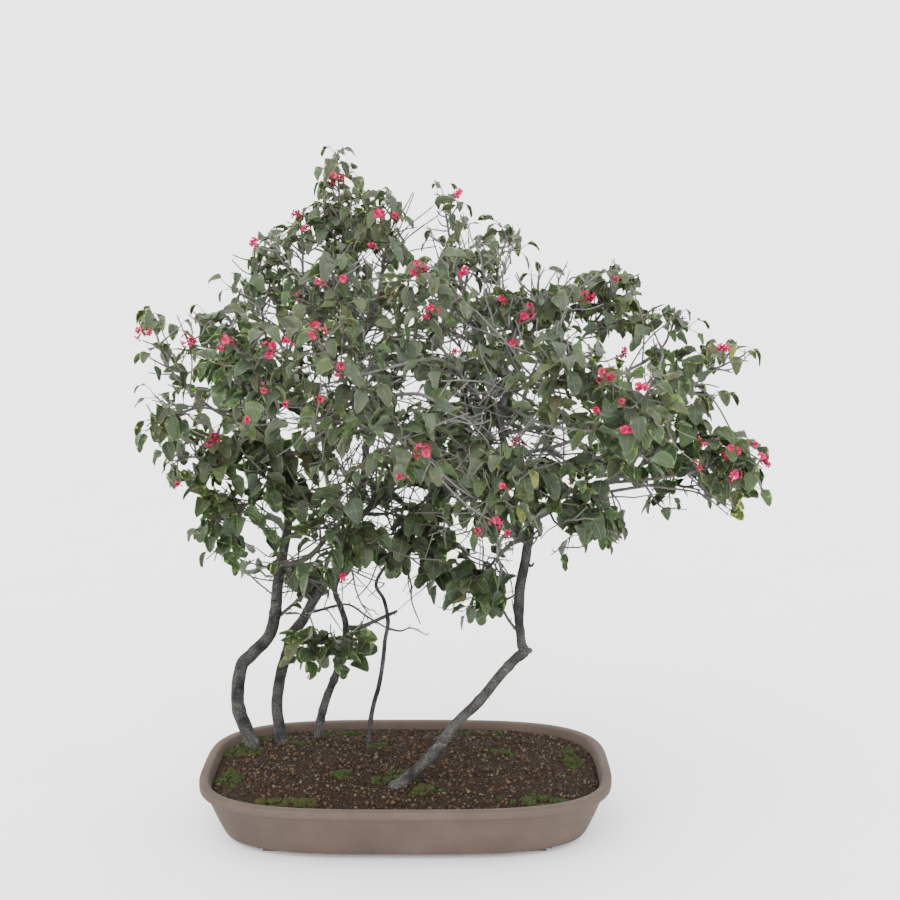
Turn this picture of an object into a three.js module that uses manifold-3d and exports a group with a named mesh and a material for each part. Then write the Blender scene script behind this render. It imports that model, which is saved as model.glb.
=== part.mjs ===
// A spicy jatropha grown as a five-stemmed bonsai in a shallow tray.
// Units are millimetres, +Z is up, and the origin is the middle of the tray's base.
//
// The tray holds a mound of soil over two drainage screens. Five stems stand in holes in the soil,
// and each carries limbs. Every limb ends in a leafy spray, which is one solid of twigs and leaves,
// and the larger bloom heads are solids of their own at the tips of their twigs.
import * as THREE from "three";
import { mergeVertices } from "three/addons/utils/BufferGeometryUtils.js";
import Module from "manifold-3d";

const wasm = await Module();
wasm.setup();

const UP = new THREE.Vector3(0, 0, 1);
const GOLDEN_ANGLE = Math.PI * (3 - Math.sqrt(5));

// Sizes of the tray and of what lies in it
const TRAY = {
  halfLength: 420,
  halfDepth: 255,
  squareness: 3.4,
  height: 120,
  footHeight: 12,
  floorTop: 28,
  rimWidth: 18,
  sides: 28,
};
const FOOT = { x: 245, y: 144, length: 96, depth: 40 };
const CENTRE_PAD_RADIUS = 38;
const DRAIN = { x: 190, radius: 16 };
const SCREEN = { size: 62, thickness: 1.5, hole: 20, pitch: 26 };
const SOIL = { edge: 104, dome: 22, grain: 3 };
const SEAT_GAP = 0.3;
const CLEARANCE = 0.25;

// How a viewer in front of the tray sees the tree. Places in it are given as that viewer sees them:
// across, up, and how far behind a picture plane that stands square to the line of sight.
const VIEWER = {
  centre: new THREE.Vector3(90, 0, 778),
  distance: 3000,
  lookDown: THREE.MathUtils.degToRad(10),
};
const SIGHT_UP = new THREE.Vector3(0, Math.sin(VIEWER.lookDown), Math.cos(VIEWER.lookDown));
const SIGHT_AHEAD = new THREE.Vector3(0, Math.cos(VIEWER.lookDown), -Math.sin(VIEWER.lookDown));

function seen([across, up, behind]) {
  const spread = 1 + behind / VIEWER.distance;
  return VIEWER.centre
    .clone()
    .addScaledVector(new THREE.Vector3(1, 0, 0), across * spread)
    .addScaledVector(SIGHT_UP, up * spread)
    .addScaledVector(SIGHT_AHEAD, behind);
}

// Each stem's root is where it leaves the soil, and its route climbs from there.
const STEMS = {
  stem_left: {
    root: [-336, 126],
    radii: [14.5, 4.5],
    route: [
      [-424, -510, 255], [-418, -436, 248], [-396, -408, 245], [-362, -372, 240], [-350, -328, 236],
      [-346, -286, 232], [-342, -246, 228], [-334, -204, 222], [-326, -164, 215], [-322, -110, 205],
      [-332, -40, 190], [-348, 40, 175], [-360, 120, 160], [-364, 200, 145],
    ],
  },
  stem_middle: {
    root: [-276, 146],
    radii: [12.5, 4.5],
    route: [
      [-346, -510, 270], [-338, -446, 262], [-326, -408, 256], [-318, -372, 250], [-294, -340, 244],
      [-276, -306, 238], [-256, -274, 230], [-232, -246, 222], [-206, -206, 210], [-188, -150, 195],
      [-176, -80, 175], [-168, 0, 150], [-168, 90, 125], [-180, 180, 100], [-196, 270, 75],
    ],
  },
  stem_low: {
    root: [-196, 156],
    radii: [9.5, 3.5],
    route: [
      [-260, -544, 270], [-252, -512, 266], [-240, -478, 260], [-228, -450, 255], [-216, -404, 246],
      [-208, -356, 222], [-218, -316, 196], [-230, -282, 176], [-220, -246, 160], [-208, -196, 140],
    ],
  },
  stem_thin: {
    root: [-86, 107],
    radii: [5.2, 2.8],
    route: [
      [-158, -536, 218], [-152, -506, 214], [-142, -470, 210], [-134, -422, 204], [-130, -380, 198],
      [-124, -344, 190], [-132, -300, 180], [-148, -270, 168], [-132, -236, 150], [-104, -204, 130],
    ],
  },
  stem_right: {
    root: [-10, -120],
    radii: [14.5, 4.5],
    route: [
      [-36, -610, -8], [10, -550, -14], [60, -500, -20], [106, -444, -26], [148, -402, -30],
      [138, -336, -30], [140, -276, -28], [152, -212, -24], [158, -144, -16], [134, -56, -4],
      [104, 32, 8], [110, 108, 18], [140, 176, 28], [168, 244, 36],
    ],
  },
};

// Each spray hangs on a limb. The limb leaves the stem or limb "on" at its point number "at", bends
// through "via" and ends at "base", where the spray starts. The spray's main twig runs on to "end".
const SPRAYS = {
  left_tip: {
    on: "stem_left", at: 12, via: [[-452, 70, 40]],
    base: [-520, 116, -10], end: [-596, 264, -30], reach: 72,
  },
  left_arm: {
    on: "left_tip", at: 1.5, via: [[-510, 84, -10]],
    base: [-534, 76, -50], end: [-596, 60, -70], reach: 72,
  },
  left_low: {
    on: "stem_left", at: 11, via: [[-400, -36, 120]],
    base: [-452, -24, 60], end: [-552, -10, 20], reach: 95,
  },
  left_hanging: {
    on: "stem_left", at: 10, via: [[-370, -96, 110]],
    base: [-410, -110, 30], end: [-476, -190, 0], reach: 84,
  },
  left_shoulder: {
    on: "stem_left", at: 13, via: [[-404, 130, 40]],
    base: [-436, 170, -50], end: [-488, 272, -70], reach: 92,
  },
  left_crest: {
    on: "stem_left", at: 13.9, via: [[-370, 240, 120]],
    base: [-376, 276, 100], end: [-394, 384, 60], reach: 92,
  },
  left_crown: {
    on: "stem_left", at: 13.2, via: [[-324, 190, 120]],
    base: [-304, 276, 80], end: [-296, 444, 30], reach: 88,
  },
  left_front: {
    on: "stem_left", at: 11.5, via: [[-340, 20, 20]],
    base: [-356, 90, -140], end: [-420, 196, -220], reach: 120,
  },
  left_back: {
    on: "stem_left", at: 12.5, via: [[-376, 90, 240]],
    base: [-400, 100, 300], end: [-420, 190, 340], reach: 125,
  },
  peak: {
    on: "stem_middle", at: 15, via: [],
    base: [-208, 364, 50], end: [-226, 588, 10], reach: 74,
  },
  small_peak: {
    on: "stem_middle", at: 14.3, via: [[-156, 260, 60]],
    base: [-132, 376, 10], end: [-114, 508, -30], reach: 60,
  },
  centre_top: {
    on: "stem_middle", at: 14, via: [[-200, 210, 0]],
    base: [-210, 250, -60], end: [-240, 372, -120], reach: 112,
  },
  centre_front: {
    on: "stem_middle", at: 12.5, via: [[-180, 50, -20]],
    base: [-200, 116, -160], end: [-264, 210, -250], reach: 120,
  },
  centre_back: {
    on: "stem_middle", at: 13, via: [[-188, 130, 220]],
    base: [-190, 200, 280], end: [-210, 320, 300], reach: 125,
  },
  mid_front: {
    on: "stem_middle", at: 11.5, via: [[-150, -30, 0]],
    base: [-130, 0, -140], end: [-80, 30, -240], reach: 112,
  },
  low_centre: {
    on: "stem_low", at: 10, via: [[-208, -184, 80]],
    base: [-214, -190, 20], end: [-230, -170, -70], reach: 96,
  },
  crossing: {
    on: "stem_left", at: 7.3, via: [[-280, -212, 190], [-224, -148, 150], [-178, -128, 110]],
    base: [-110, -78, 60], end: [-20, -40, 0], reach: 105,
  },
  skirt: {
    on: "stem_low", at: 4.5, via: [[-210, -420, 200]],
    base: [-220, -400, 165], end: [-290, -376, 120], reach: 80,
  },
  centre_low: {
    on: "stem_thin", at: 10, via: [],
    base: [-84, -194, 110], end: [-20, -220, 40], reach: 96,
  },
  peak_right: {
    on: "stem_right", at: 12.3, via: [[60, 210, 20]],
    base: [24, 320, 10], end: [-14, 512, -10], reach: 68,
  },
  crest_right: {
    on: "stem_right", at: 13, via: [[120, 260, 50]],
    base: [100, 320, 60], end: [116, 428, 60], reach: 56,
  },
  top_front: {
    on: "stem_right", at: 11.3, via: [[40, 120, -20]],
    base: [-20, 210, -110], end: [-60, 350, -170], reach: 108,
  },
  right_top: {
    on: "stem_right", at: 14, via: [],
    base: [176, 272, 20], end: [156, 320, -60], reach: 94,
  },
  shoulder_right: {
    on: "stem_right", at: 13.3, via: [[220, 180, 40]],
    base: [270, 230, 40], end: [344, 336, 30], reach: 98,
  },
  hook_right: {
    on: "stem_right", at: 12.6, via: [[280, 130, 20]],
    base: [390, 176, 0], end: [452, 264, -10], reach: 62,
  },
  right_lobe: {
    on: "stem_right", at: 9, via: [[280, -82, 10], [350, -46, 0], [380, -4, -10]],
    base: [460, 100, -20], end: [588, 190, -40], reach: 78,
  },
  right_front: {
    on: "stem_right", at: 10.5, via: [[220, 10, -90]],
    base: [310, 50, -170], end: [400, 116, -230], reach: 122,
  },
  right_back: {
    on: "stem_right", at: 11, via: [[200, 50, 140]],
    base: [300, 70, 220], end: [410, 110, 280], reach: 125,
  },
  far_right: {
    on: "right_lobe", at: 1.4, via: [[420, -56, -20]],
    base: [500, -40, -40], end: [600, -4, -50], reach: 90,
  },
  right_low: {
    on: "right_lobe", at: 0.8, via: [[340, -80, 60]],
    base: [400, -70, 90], end: [500, -80, 110], reach: 78,
  },
  under_right: {
    on: "stem_right", at: 9.3, via: [[190, -110, -60]],
    base: [220, -110, -90], end: [296, -164, -110], reach: 80,
  },
  trunk_front: {
    on: "stem_right", at: 10, via: [[130, -40, -90]],
    base: [116, -40, -150], end: [76, -120, -220], reach: 100,
  },
  low_right: {
    on: "stem_right", at: 8.6, via: [[120, -190, -40]],
    base: [90, -220, -50], end: [40, -310, -60], reach: 80,
  },
  right_centre: {
    on: "stem_right", at: 12, via: [[160, 130, -60]],
    base: [190, 130, -130], end: [240, 200, -200], reach: 108,
  },
  back_centre: {
    on: "stem_right", at: 11.6, via: [[80, 100, 180]],
    base: [50, 140, 260], end: [10, 240, 310], reach: 125,
  },
};
const FIRST_SEED = 4100;

// Bloom heads by the place of their middle, with the number of open flowers. The first ones are
// solids of their own, and the rest are part of their spray.
const BLOOM_HEADS = [
  { at: [-478, 24, -60], flowers: 4 },
  { at: [274, 302, -60], flowers: 3 },
  { at: [-522, 218, -90], flowers: 3 },
  { at: [-54, -4, -290], flowers: 4 },
  { at: [-266, 240, -320], flowers: 4 },
  { at: [-450, 216, -260], flowers: 3 },
  { at: [566, -48, -110], flowers: 3 },
  { at: [-64, 364, -230], flowers: 3 },
  { at: [562, 0, -120], flowers: 2 },
  { at: [150, 270, -130], flowers: 3 },
  { at: [310, 148, -290], flowers: 2 },
  { at: [-40, 280, -240], flowers: 2 },
  { at: [546, 200, -120], flowers: 3 },
  { at: [-616, 236, -100], flowers: 2 },
  { at: [-230, 546, -40], flowers: 2 },
  { at: [136, 20, -110], flowers: 2 },
];
const SMALL_BLOOMS = [
  { at: [-216, 340, -180], flowers: 2 },
  { at: [-358, 202, -290], flowers: 2 },
  { at: [622, -22, -100], flowers: 2 },
  { at: [-300, 308, -30], flowers: 1 },
  { at: [108, 298, -110], flowers: 2 },
  { at: [86, -142, -290], flowers: 1 },
  { at: [-218, 164, -300], flowers: 2 },
  { at: [338, 188, -110], flowers: 1 },
  { at: [132, 208, -170], flowers: 1 },
  { at: [350, 42, -290], flowers: 1 },
  { at: [-124, 310, -110], flowers: 1 },
  { at: [-214, -246, -40], flowers: 1 },
  { at: [-320, 222, -60], flowers: 1 },
  { at: [12, 508, -40], flowers: 1 },
  { at: [-390, 410, 10], flowers: 1 },
  { at: [-300, 470, -10], flowers: 1 },
  { at: [-140, 472, -90], flowers: 1 },
  { at: [26, 356, -80], flowers: 1 },
  { at: [380, 126, -290], flowers: 1 },
  { at: [440, -40, 60], flowers: 1 },
  { at: [-456, 204, 410], flowers: 2 },
  { at: [-230, 340, 390], flowers: 2 },
  { at: [0, 250, 400], flowers: 2 },
  { at: [420, 130, 370], flowers: 2 },
  { at: [60, 120, 370], flowers: 1 },
  { at: [330, 330, 90], flowers: 1 },
];

// Leaves stand in pairs along a shoot, with one at its tip.
const LEAF = {
  length: 54,
  shape: 0.62,
  petiole: 20,
  petioleHalf: 1,
  keel: 1.6,
  firstShare: 0.35,
  secondShare: 0.38,
  steepest: 0.7,
};
const SHOOT = { radius: 2.1, tipRadius: 1.5, full: 0.86, pairs: [0.84] };
const TWIG = {
  radius: 3.1,
  tipRadius: 1.9,
  shoots: [0.12, 0.42, 0.72],
  blooms: [0.27, 0.57, 0.87],
  slenderReach: 75,
};
const NODE_LENGTH = 4;
const COLLAR = 8;
const FLOWER = { radius: 12.5, neck: 0.9, pedicel: 7, depth: 7 };
const STALK = { radius: 1.7, length: 24 };
const STEM_SIDES = 7;
const BURIED = 60;
const CLEAR_OF_SOIL = 22;
const HOLE_SLACK = 0.5;

// Even draws between 0 and 1, the same ones for the same seed.
function generator(seed) {
  let state = seed;
  return () => {
    state = (state * 48271) % 2147483647;
    return state / 2147483647;
  };
}

// Turns a closed geometry into a solid that can be joined and cut.
function solidOf(geometry) {
  const bare = new THREE.BufferGeometry();
  bare.setAttribute("position", geometry.getAttribute("position"));
  bare.setIndex(geometry.index);
  const merged = mergeVertices(bare);
  const vertProperties = merged.getAttribute("position").array;
  const corners = Array.from(merged.index.array);
  const whole = corners.flatMap((_, i) => {
    const [a, b, c] = corners.slice(i, i + 3);
    return i % 3 === 0 && a !== b && b !== c && c !== a ? [a, b, c] : [];
  });
  const make = (list) => {
    const triVerts = new Uint32Array(list);
    return new wasm.Manifold(new wasm.Mesh({ numProp: 3, vertProperties, triVerts }));
  };
  const made = make(whole);
  return made.volume() < 0 ? make(whole.reverse()) : made;
}

// Joins rings of points into one closed geometry. A ring of one point is a tip.
function loft(rings) {
  const triangles = [];
  const count = Math.max(...rings.map((ring) => ring.length));
  let first = 0;
  for (let r = 0; r + 1 < rings.length; r++) {
    const next = first + rings[r].length;
    const start = first;
    const low = (i) => start + (i % rings[r].length);
    const high = (i) => next + (i % rings[r + 1].length);
    for (let i = 0; i < count; i++) {
      if (rings[r].length > 1) triangles.push(low(i), low(i + 1), high(i));
      if (rings[r + 1].length > 1) triangles.push(low(i + 1), high(i + 1), high(i));
    }
    first = next;
  }
  const lastRing = rings.at(-1);
  for (let i = 1; i + 1 < rings[0].length; i++) triangles.push(0, i + 1, i);
  for (let i = 1; i + 1 < lastRing.length; i++) triangles.push(first, first + i, first + i + 1);
  const geometry = new THREE.BufferGeometry().setFromPoints(rings.flat());
  return solidOf(geometry.setIndex(triangles));
}

// A tapered round rod through the points, with its end faces square to it.
function rod(points, startRadius, endRadius, sides, { startWay, endWay, straight = 0 } = {}) {
  const last = points.length - 1;
  let across = new THREE.Vector3();
  const rings = points.map((point, i) => {
    let along = points[Math.min(i + 1, last)].clone().sub(points[Math.max(i - 1, 0)]).normalize();
    if (i === 0 && startWay) along = startWay.clone();
    if (i === last && endWay) along = endWay.clone();
    if (i === 0) across.crossVectors(along, Math.abs(along.z) < 0.9 ? UP : new THREE.Vector3(1, 0, 0));
    across = across.clone().addScaledVector(along, -across.dot(along)).normalize();
    const third = new THREE.Vector3().crossVectors(along, across);
    const share = Math.max(0, i - straight) / (last - straight);
    const radius = THREE.MathUtils.lerp(startRadius, endRadius, share);
    return Array.from({ length: sides }, (_, k) => {
      const turn = (2 * Math.PI * k) / sides;
      return point
        .clone()
        .addScaledVector(across, radius * Math.cos(turn))
        .addScaledVector(third, radius * Math.sin(turn));
    });
  });
  return loft(rings);
}

// Rings with rounded corners round the tray's middle, at the given inset from its outside.
function trayRing(inset, z) {
  const round = (share) => Math.sign(share) * Math.abs(share) ** (2 / TRAY.squareness);
  return Array.from({ length: TRAY.sides }, (_, k) => {
    const turn = (2 * Math.PI * k) / TRAY.sides;
    return new THREE.Vector3(
      (TRAY.halfLength - inset) * round(Math.cos(turn)),
      (TRAY.halfDepth - inset) * round(Math.sin(turn)),
      z,
    );
  });
}

function cylinder(radius, low, high, x, y, sides) {
  const geometry = new THREE.CylinderGeometry(radius, radius, high - low, sides);
  return solidOf(geometry.rotateX(Math.PI / 2).translate(x, y, (low + high) / 2));
}

function block(x, y, z, size) {
  return solidOf(new THREE.BoxGeometry(...size).translate(x, y, z));
}

const WALL_PROFILE = [[46, TRAY.footHeight], [14, 92], [9, 100], [0, 104], [0, TRAY.height]];
const INNER_LOW = { inset: 58, z: TRAY.floorTop };
const INNER_HIGH = { inset: 26, z: 97 };

function makeTray() {
  const outside = WALL_PROFILE.map(([inset, z]) => trayRing(inset, z));
  const body = loft(outside);
  const hollow = loft([
    trayRing(INNER_LOW.inset, INNER_LOW.z),
    trayRing(INNER_HIGH.inset, INNER_HIGH.z),
    trayRing(TRAY.rimWidth, TRAY.height + 5),
  ]);
  const footTop = TRAY.footHeight + 3;
  const feet = [-1, 1].flatMap((sx) =>
    [-1, 1].map((sy) => block(sx * FOOT.x, sy * FOOT.y, footTop / 2, [FOOT.length, FOOT.depth, footTop])),
  );
  const pad = cylinder(CENTRE_PAD_RADIUS, 0, footTop, 0, 0, 16);
  const drainTop = TRAY.floorTop + 5;
  const drains = [-1, 1].map((side) => cylinder(DRAIN.radius, 0, drainTop, side * DRAIN.x, 0, 12));
  return wasm.Manifold.union([body, ...feet, pad]).subtract(wasm.Manifold.union([hollow, ...drains]));
}

function makeScreen(x) {
  const middle = TRAY.floorTop + SEAT_GAP + SCREEN.thickness / 2;
  const size = [SCREEN.hole, SCREEN.hole, 2 * SCREEN.thickness];
  const holes = [-1, 1].flatMap((i) =>
    [-1, 1].map((j) => block(x + (i * SCREEN.pitch) / 2, (j * SCREEN.pitch) / 2, middle, size)),
  );
  const plate = block(x, 0, middle, [SCREEN.size, SCREEN.size, SCREEN.thickness]);
  return plate.subtract(wasm.Manifold.union(holes));
}

// The soil's surface is a low mound with a coarse grain.
function soilHeight(x, y) {
  const n = TRAY.squareness;
  const out = (Math.abs(x / TRAY.halfLength) ** n + Math.abs(y / TRAY.halfDepth) ** n) ** (1 / n);
  const grain = SOIL.grain * Math.sin(x / 31) * Math.cos(y / 23);
  return SOIL.edge + (SOIL.dome + grain) * Math.max(0, 1 - out * out * 1.15);
}

function makeSoil(holes) {
  const bottom = TRAY.floorTop + SEAT_GAP;
  const slope = (INNER_LOW.inset - INNER_HIGH.inset) / (INNER_HIGH.z - INNER_LOW.z);
  const wallInset = (z) => INNER_LOW.inset - (z - INNER_LOW.z) * slope + SEAT_GAP * 1.2;
  const kink = INNER_HIGH.z - 4;
  const surface = [0.3, 0.6, 0.88].map((share) =>
    trayRing(0, 0).map((p) => {
      const [x, y] = [p.x * share * 0.93, p.y * share * 0.93];
      return new THREE.Vector3(x, y, soilHeight(x, y));
    }),
  );
  const edge = trayRing(wallInset(kink), SOIL.edge - 3);
  const body = loft([
    trayRing(wallInset(bottom), bottom),
    trayRing(wallInset(kink), kink),
    edge,
    ...surface.reverse(),
    [new THREE.Vector3(0, 0, soilHeight(0, 0))],
  ]);
  const recessTop = SCREEN.thickness + 2 * SEAT_GAP;
  const recesses = [-1, 1].map((side) =>
    block(side * DRAIN.x, 0, bottom, [SCREEN.size + 1, SCREEN.size + 1, 2 * recessTop]),
  );
  return body.subtract(wasm.Manifold.union([...holes, ...recesses]));
}

// The routes of the stems and limbs by name, with their radii.
const wood = {};

function alongRoute(controls, number) {
  const curve = new THREE.CatmullRomCurve3(controls, false, "catmullrom", 0.5);
  return curve.getPoint(number / (controls.length - 1));
}

// A stem runs straight through the soil, so that its hole can be straight too.
function makeStem(name, { root, route, radii }) {
  const ground = new THREE.Vector3(root[0], root[1], soilHeight(...root));
  const climb = route.map(seen);
  const lean = climb[0].clone().sub(ground).normalize();
  const foot = ground.clone().addScaledVector(lean, -BURIED);
  const above = ground.clone().addScaledVector(lean, CLEAR_OF_SOIL);
  const controls = [ground, ...climb];
  wood[name] = { controls, radii };
  const stem = rod([foot, above, ...climb], ...radii, STEM_SIDES, { startWay: lean, straight: 1 });
  const bottom = foot.clone().addScaledVector(lean, -HOLE_SLACK);
  const top = above.clone().addScaledVector(lean, 2 * CLEAR_OF_SOIL);
  const hole = rod([bottom, top], radii[0] + HOLE_SLACK, radii[0] + HOLE_SLACK, STEM_SIDES);
  return { stem, hole };
}

function stemUnder(name) {
  return STEMS[name] ? name : stemUnder(SPRAYS[name].on);
}

function radiusAt(name, number) {
  const { controls, radii } = wood[name];
  return THREE.MathUtils.lerp(radii[0], radii[1], number / (controls.length - 1));
}

function makeLimb(name, { on, at, via, base }) {
  const start = alongRoute(wood[on].controls, at);
  const controls = [start, ...via.map(seen), seen(base)];
  const thick = Math.min(0.72 * radiusAt(on, at), 7);
  const radii = [Math.max(thick, TWIG.radius), TWIG.radius];
  const curve = new THREE.CatmullRomCurve3(controls, false, "catmullrom", 0.5);
  const points = curve.getPoints(via.length ? via.length + 2 : 1);
  const endWay = points.at(-1).clone().sub(points.at(-2)).normalize();
  wood[name] = { controls, radii, endWay };
  return rod(points, ...radii, via.length > 1 ? 4 : 3, { endWay });
}

// A surface of triangles that grows ring by ring. A branch starts on a triangle, which it opens, so
// that leaves and flowers are one skin with the shoot that bears them.
class Growth {
  constructor(ring) {
    this.points = [];
    this.faces = [];
    this.end = this.number(ring);
    this.faces.push([...this.end].reverse());
  }

  number(ring) {
    return ring.map((point) => this.points.push(point) - 1);
  }

  // Runs on to the next ring, and gives the face on each side that a branch may open. The new ring
  // starts at the point that keeps the skin least twisted.
  extend(from, ring) {
    const count = ring.length;
    const stretch = (shift) =>
      ring.reduce((sum, _, i) => {
        const point = ring[(i + shift) % count];
        const [low, after] = [from[i], from[(i + 1) % count]].map((one) => this.points[one]);
        return sum + point.distanceToSquared(low) + point.distanceToSquared(after);
      }, 0);
    const [best] = ring.map((_, i) => i).sort((a, b) => stretch(a) - stretch(b));
    const next = this.number(ring.map((_, i) => ring[(i + best) % count]));
    const sides = from.map((low, i) => {
      const after = (i + 1) % count;
      const open = [low, from[after], next[i]];
      this.faces.push(open, [from[after], next[after], next[i]]);
      return open;
    });
    return { next, sides };
  }

  // Takes a face away, so that a branch can start on its corners.
  open(face) {
    this.faces.splice(this.faces.indexOf(face), 1);
    return face;
  }

  tip(from, point) {
    const [end] = this.number([point]);
    from.forEach((low, i) => this.faces.push([low, from[(i + 1) % from.length], end]));
  }

  // Widens from a ring of three to a rim of more points, which closes on its middle.
  flare(from, rim, middle) {
    const edge = this.number(rim);
    const turn = (i) => Math.round((i * edge.length) / 3);
    from.forEach((low, i) => {
      for (let k = turn(i); k < turn(i + 1); k++) {
        this.faces.push([low, edge[(k + 1) % edge.length], edge[k]]);
      }
      this.faces.push([low, from[(i + 1) % 3], edge[turn(i + 1) % edge.length]]);
    });
    this.tip(edge, middle);
  }

  face(ring) {
    const face = [...ring];
    this.faces.push(face);
    return face;
  }

  solid() {
    const geometry = new THREE.BufferGeometry().setFromPoints(this.points);
    return solidOf(geometry.setIndex(this.faces.flat()));
  }
}

// Three points round a place on a twig, turning with the way that the twig runs.
function ringOfThree(middle, along, radius, turn = 0) {
  const across = around(along, turn);
  return [0, 1, 2].map((i) => {
    const spoke = across.clone().applyAxisAngle(along, (i * 2 * Math.PI) / 3);
    return middle.clone().addScaledVector(spoke, radius);
  });
}

// Leaves. A blade is three-sided in section: flat above, with the rib as a keel below.
function planLeaf(from, outward, draw) {
  const rise = outward.clone().addScaledVector(UP, 0.1 + 0.5 * draw()).normalize();
  const bearing = 2 * Math.PI * draw();
  if (rise.z > LEAF.steepest) {
    const aside = new THREE.Vector3(Math.cos(bearing), Math.sin(bearing), 0);
    rise.setZ(0).addScaledVector(aside, 0.2).normalize();
    rise.addScaledVector(UP, LEAF.steepest / Math.sqrt(1 - LEAF.steepest ** 2)).normalize();
  }
  const petiole = LEAF.petiole * (0.7 + 0.6 * draw());
  const length = LEAF.length * (0.82 + 0.36 * draw());
  const hang = 0.5 + 0.38 * draw();
  const turn = (draw() - 0.5) * 1.5;
  return { from, rise, petiole, length, hang, turn };
}

function leafRings({ from, rise, petiole, length, hang, turn }, swing, shrink) {
  const out = rise.clone().applyAxisAngle(UP, swing);
  const size = length * shrink;
  const heading = (share) => {
    const way = out.clone().multiplyScalar(1 - hang * share);
    return way.addScaledVector(UP, -hang * share).normalize();
  };
  const base = from.clone().addScaledVector(out, petiole);
  const first = base.clone().addScaledVector(heading(0.75), size * LEAF.firstShare);
  const second = first.clone().addScaledVector(heading(1), size * LEAF.secondShare);
  const rest = 1 - LEAF.firstShare - LEAF.secondShare;
  const tip = second.clone().addScaledVector(heading(1.15), size * rest);
  const level = new THREE.Vector3().crossVectors(out, UP).normalize();
  const side = level.applyAxisAngle(heading(0.9), turn);
  if (new THREE.Vector3().crossVectors(heading(0.9), side).z > 0) side.negate();
  const width = size * LEAF.shape;
  const places = [
    [base, out.clone().add(heading(0.75)), LEAF.petioleHalf],
    [first, heading(0.85), width / 2],
    [second, heading(1.1), width * 0.37],
  ];
  const rings = places.map(([middle, along, half]) => {
    const below = new THREE.Vector3().crossVectors(along, side).normalize();
    return [
      middle.clone().addScaledVector(side, half),
      middle.clone().addScaledVector(below, LEAF.keel),
      middle.clone().addScaledVector(side, -half),
    ];
  });
  const start = rings[0].map((point) => point.clone().sub(base).add(from).addScaledVector(out, 5));
  return { rings, tip, start, out };
}

// A curved twig from one point to another, which starts along "heading".
function bend(from, heading, to, steps) {
  const middle = from.clone().addScaledVector(heading, 0.45 * from.distanceTo(to));
  const curve = new THREE.QuadraticBezierCurve3(from, middle, to);
  return curve.getPoints(steps);
}

function around(axis, turn) {
  const across = new THREE.Vector3().crossVectors(axis, UP).normalize();
  return across.applyAxisAngle(axis, turn);
}

// A twig along the points, with the leaves in pairs at its nodes and one at its tip.
function planTwig(points, radii, pairs, phase, draw) {
  const spine = new THREE.CatmullRomCurve3(points, false, "catmullrom", 0.5);
  const nodes = pairs.map((share, number) => {
    const along = spine.getTangent(share);
    const leaves = [0, 1].map((half) => {
      const outward = around(along, phase + number * 1.9 + half * GOLDEN_ANGLE);
      return planLeaf(spine.getPoint(share), outward.addScaledVector(along, 0.3), draw);
    });
    return { share, leaves, twigs: [] };
  });
  const end = planLeaf(points.at(-1), spine.getTangent(1), draw);
  return { spine, radii, bends: points.length - 2, nodes, end };
}

// The whole plan of a spray: its main twig and the shoots on it.
function planSpray(name, { base, end, reach }, seed) {
  const draw = generator(seed);
  const heading = wood[name].endWay;
  const points = bend(seen(base).addScaledVector(heading, SEAT_GAP), heading, seen(end), 2);
  const main = planTwig(points, [TWIG.radius, TWIG.tipRadius], [], 0, draw);
  const phase = draw() * 2 * Math.PI;
  const shares = reach < TWIG.slenderReach ? TWIG.shoots.slice(1) : TWIG.shoots;
  shares.forEach((share, k) => {
    const along = main.spine.getTangent(share);
    const outward = around(along, phase + (k * 2 * Math.PI) / shares.length + (draw() - 0.5) * 0.5);
    const length = reach * SHOOT.full * (1.08 - 0.3 * share);
    const way = outward.addScaledVector(along, 0.3 + 0.4 * draw()).addScaledVector(UP, 0.2).normalize();
    const from = main.spine.getPoint(share);
    const to = from.clone().addScaledVector(way, length);
    const shoot = planTwig([from, to], [SHOOT.radius, SHOOT.tipRadius], SHOOT.pairs, k, draw);
    main.nodes.push({ share, leaves: [], twigs: [shoot] });
  });
  return { heading, main };
}

// What is placed so far, so that a new piece can be bent clear of it.
const placed = [];

function place(owner, solid) {
  placed.push({ owner, solid, box: solid.boundingBox() });
  return solid;
}

function isClear(owner, solid) {
  const box = solid.boundingBox();
  const near = (other) =>
    [0, 1, 2].every((i) => box.min[i] < other.box.max[i] + 1 && other.box.min[i] < box.max[i] + 1);
  const needed = (other) => (other.owner === owner ? 0.1 : CLEARANCE);
  return placed.every((other) => !near(other) || solid.minGap(other.solid, 1) >= needed(other));
}

const SWINGS = [0, 0.4, -0.4, 0.8, -0.8, 1.3, -1.3];

// The open side that looks most nearly the given way, if there is one.
function sideFacing(skin, sides, way) {
  const look = (face) => {
    const [a, b, c] = face.map((i) => skin.points[i]);
    return new THREE.Triangle(a, b, c).getNormal(new THREE.Vector3()).dot(way);
  };
  const [best] = [...sides].sort((a, b) => look(b) - look(a));
  return best && look(best) > 0.45 ? best : null;
}

// Grows a leaf on one of the sides, at the first turn and size at which it crosses nothing.
function growLeaf(owner, skin, sides, leaf) {
  for (const shrink of [1, 0.82]) {
    for (const swing of SWINGS) {
      const { rings, tip, start, out } = leafRings(leaf, swing, shrink);
      const side = sideFacing(skin, sides, out);
      if (!side) continue;
      const solid = loft([start, ...rings, [tip]]);
      if (!isClear(owner, solid)) continue;
      place(owner, solid);
      let from = skin.open(side);
      for (const ring of rings) from = skin.extend(from, ring).next;
      skin.tip(from, tip);
      sides.splice(sides.indexOf(side), 1);
      return;
    }
  }
}

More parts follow.
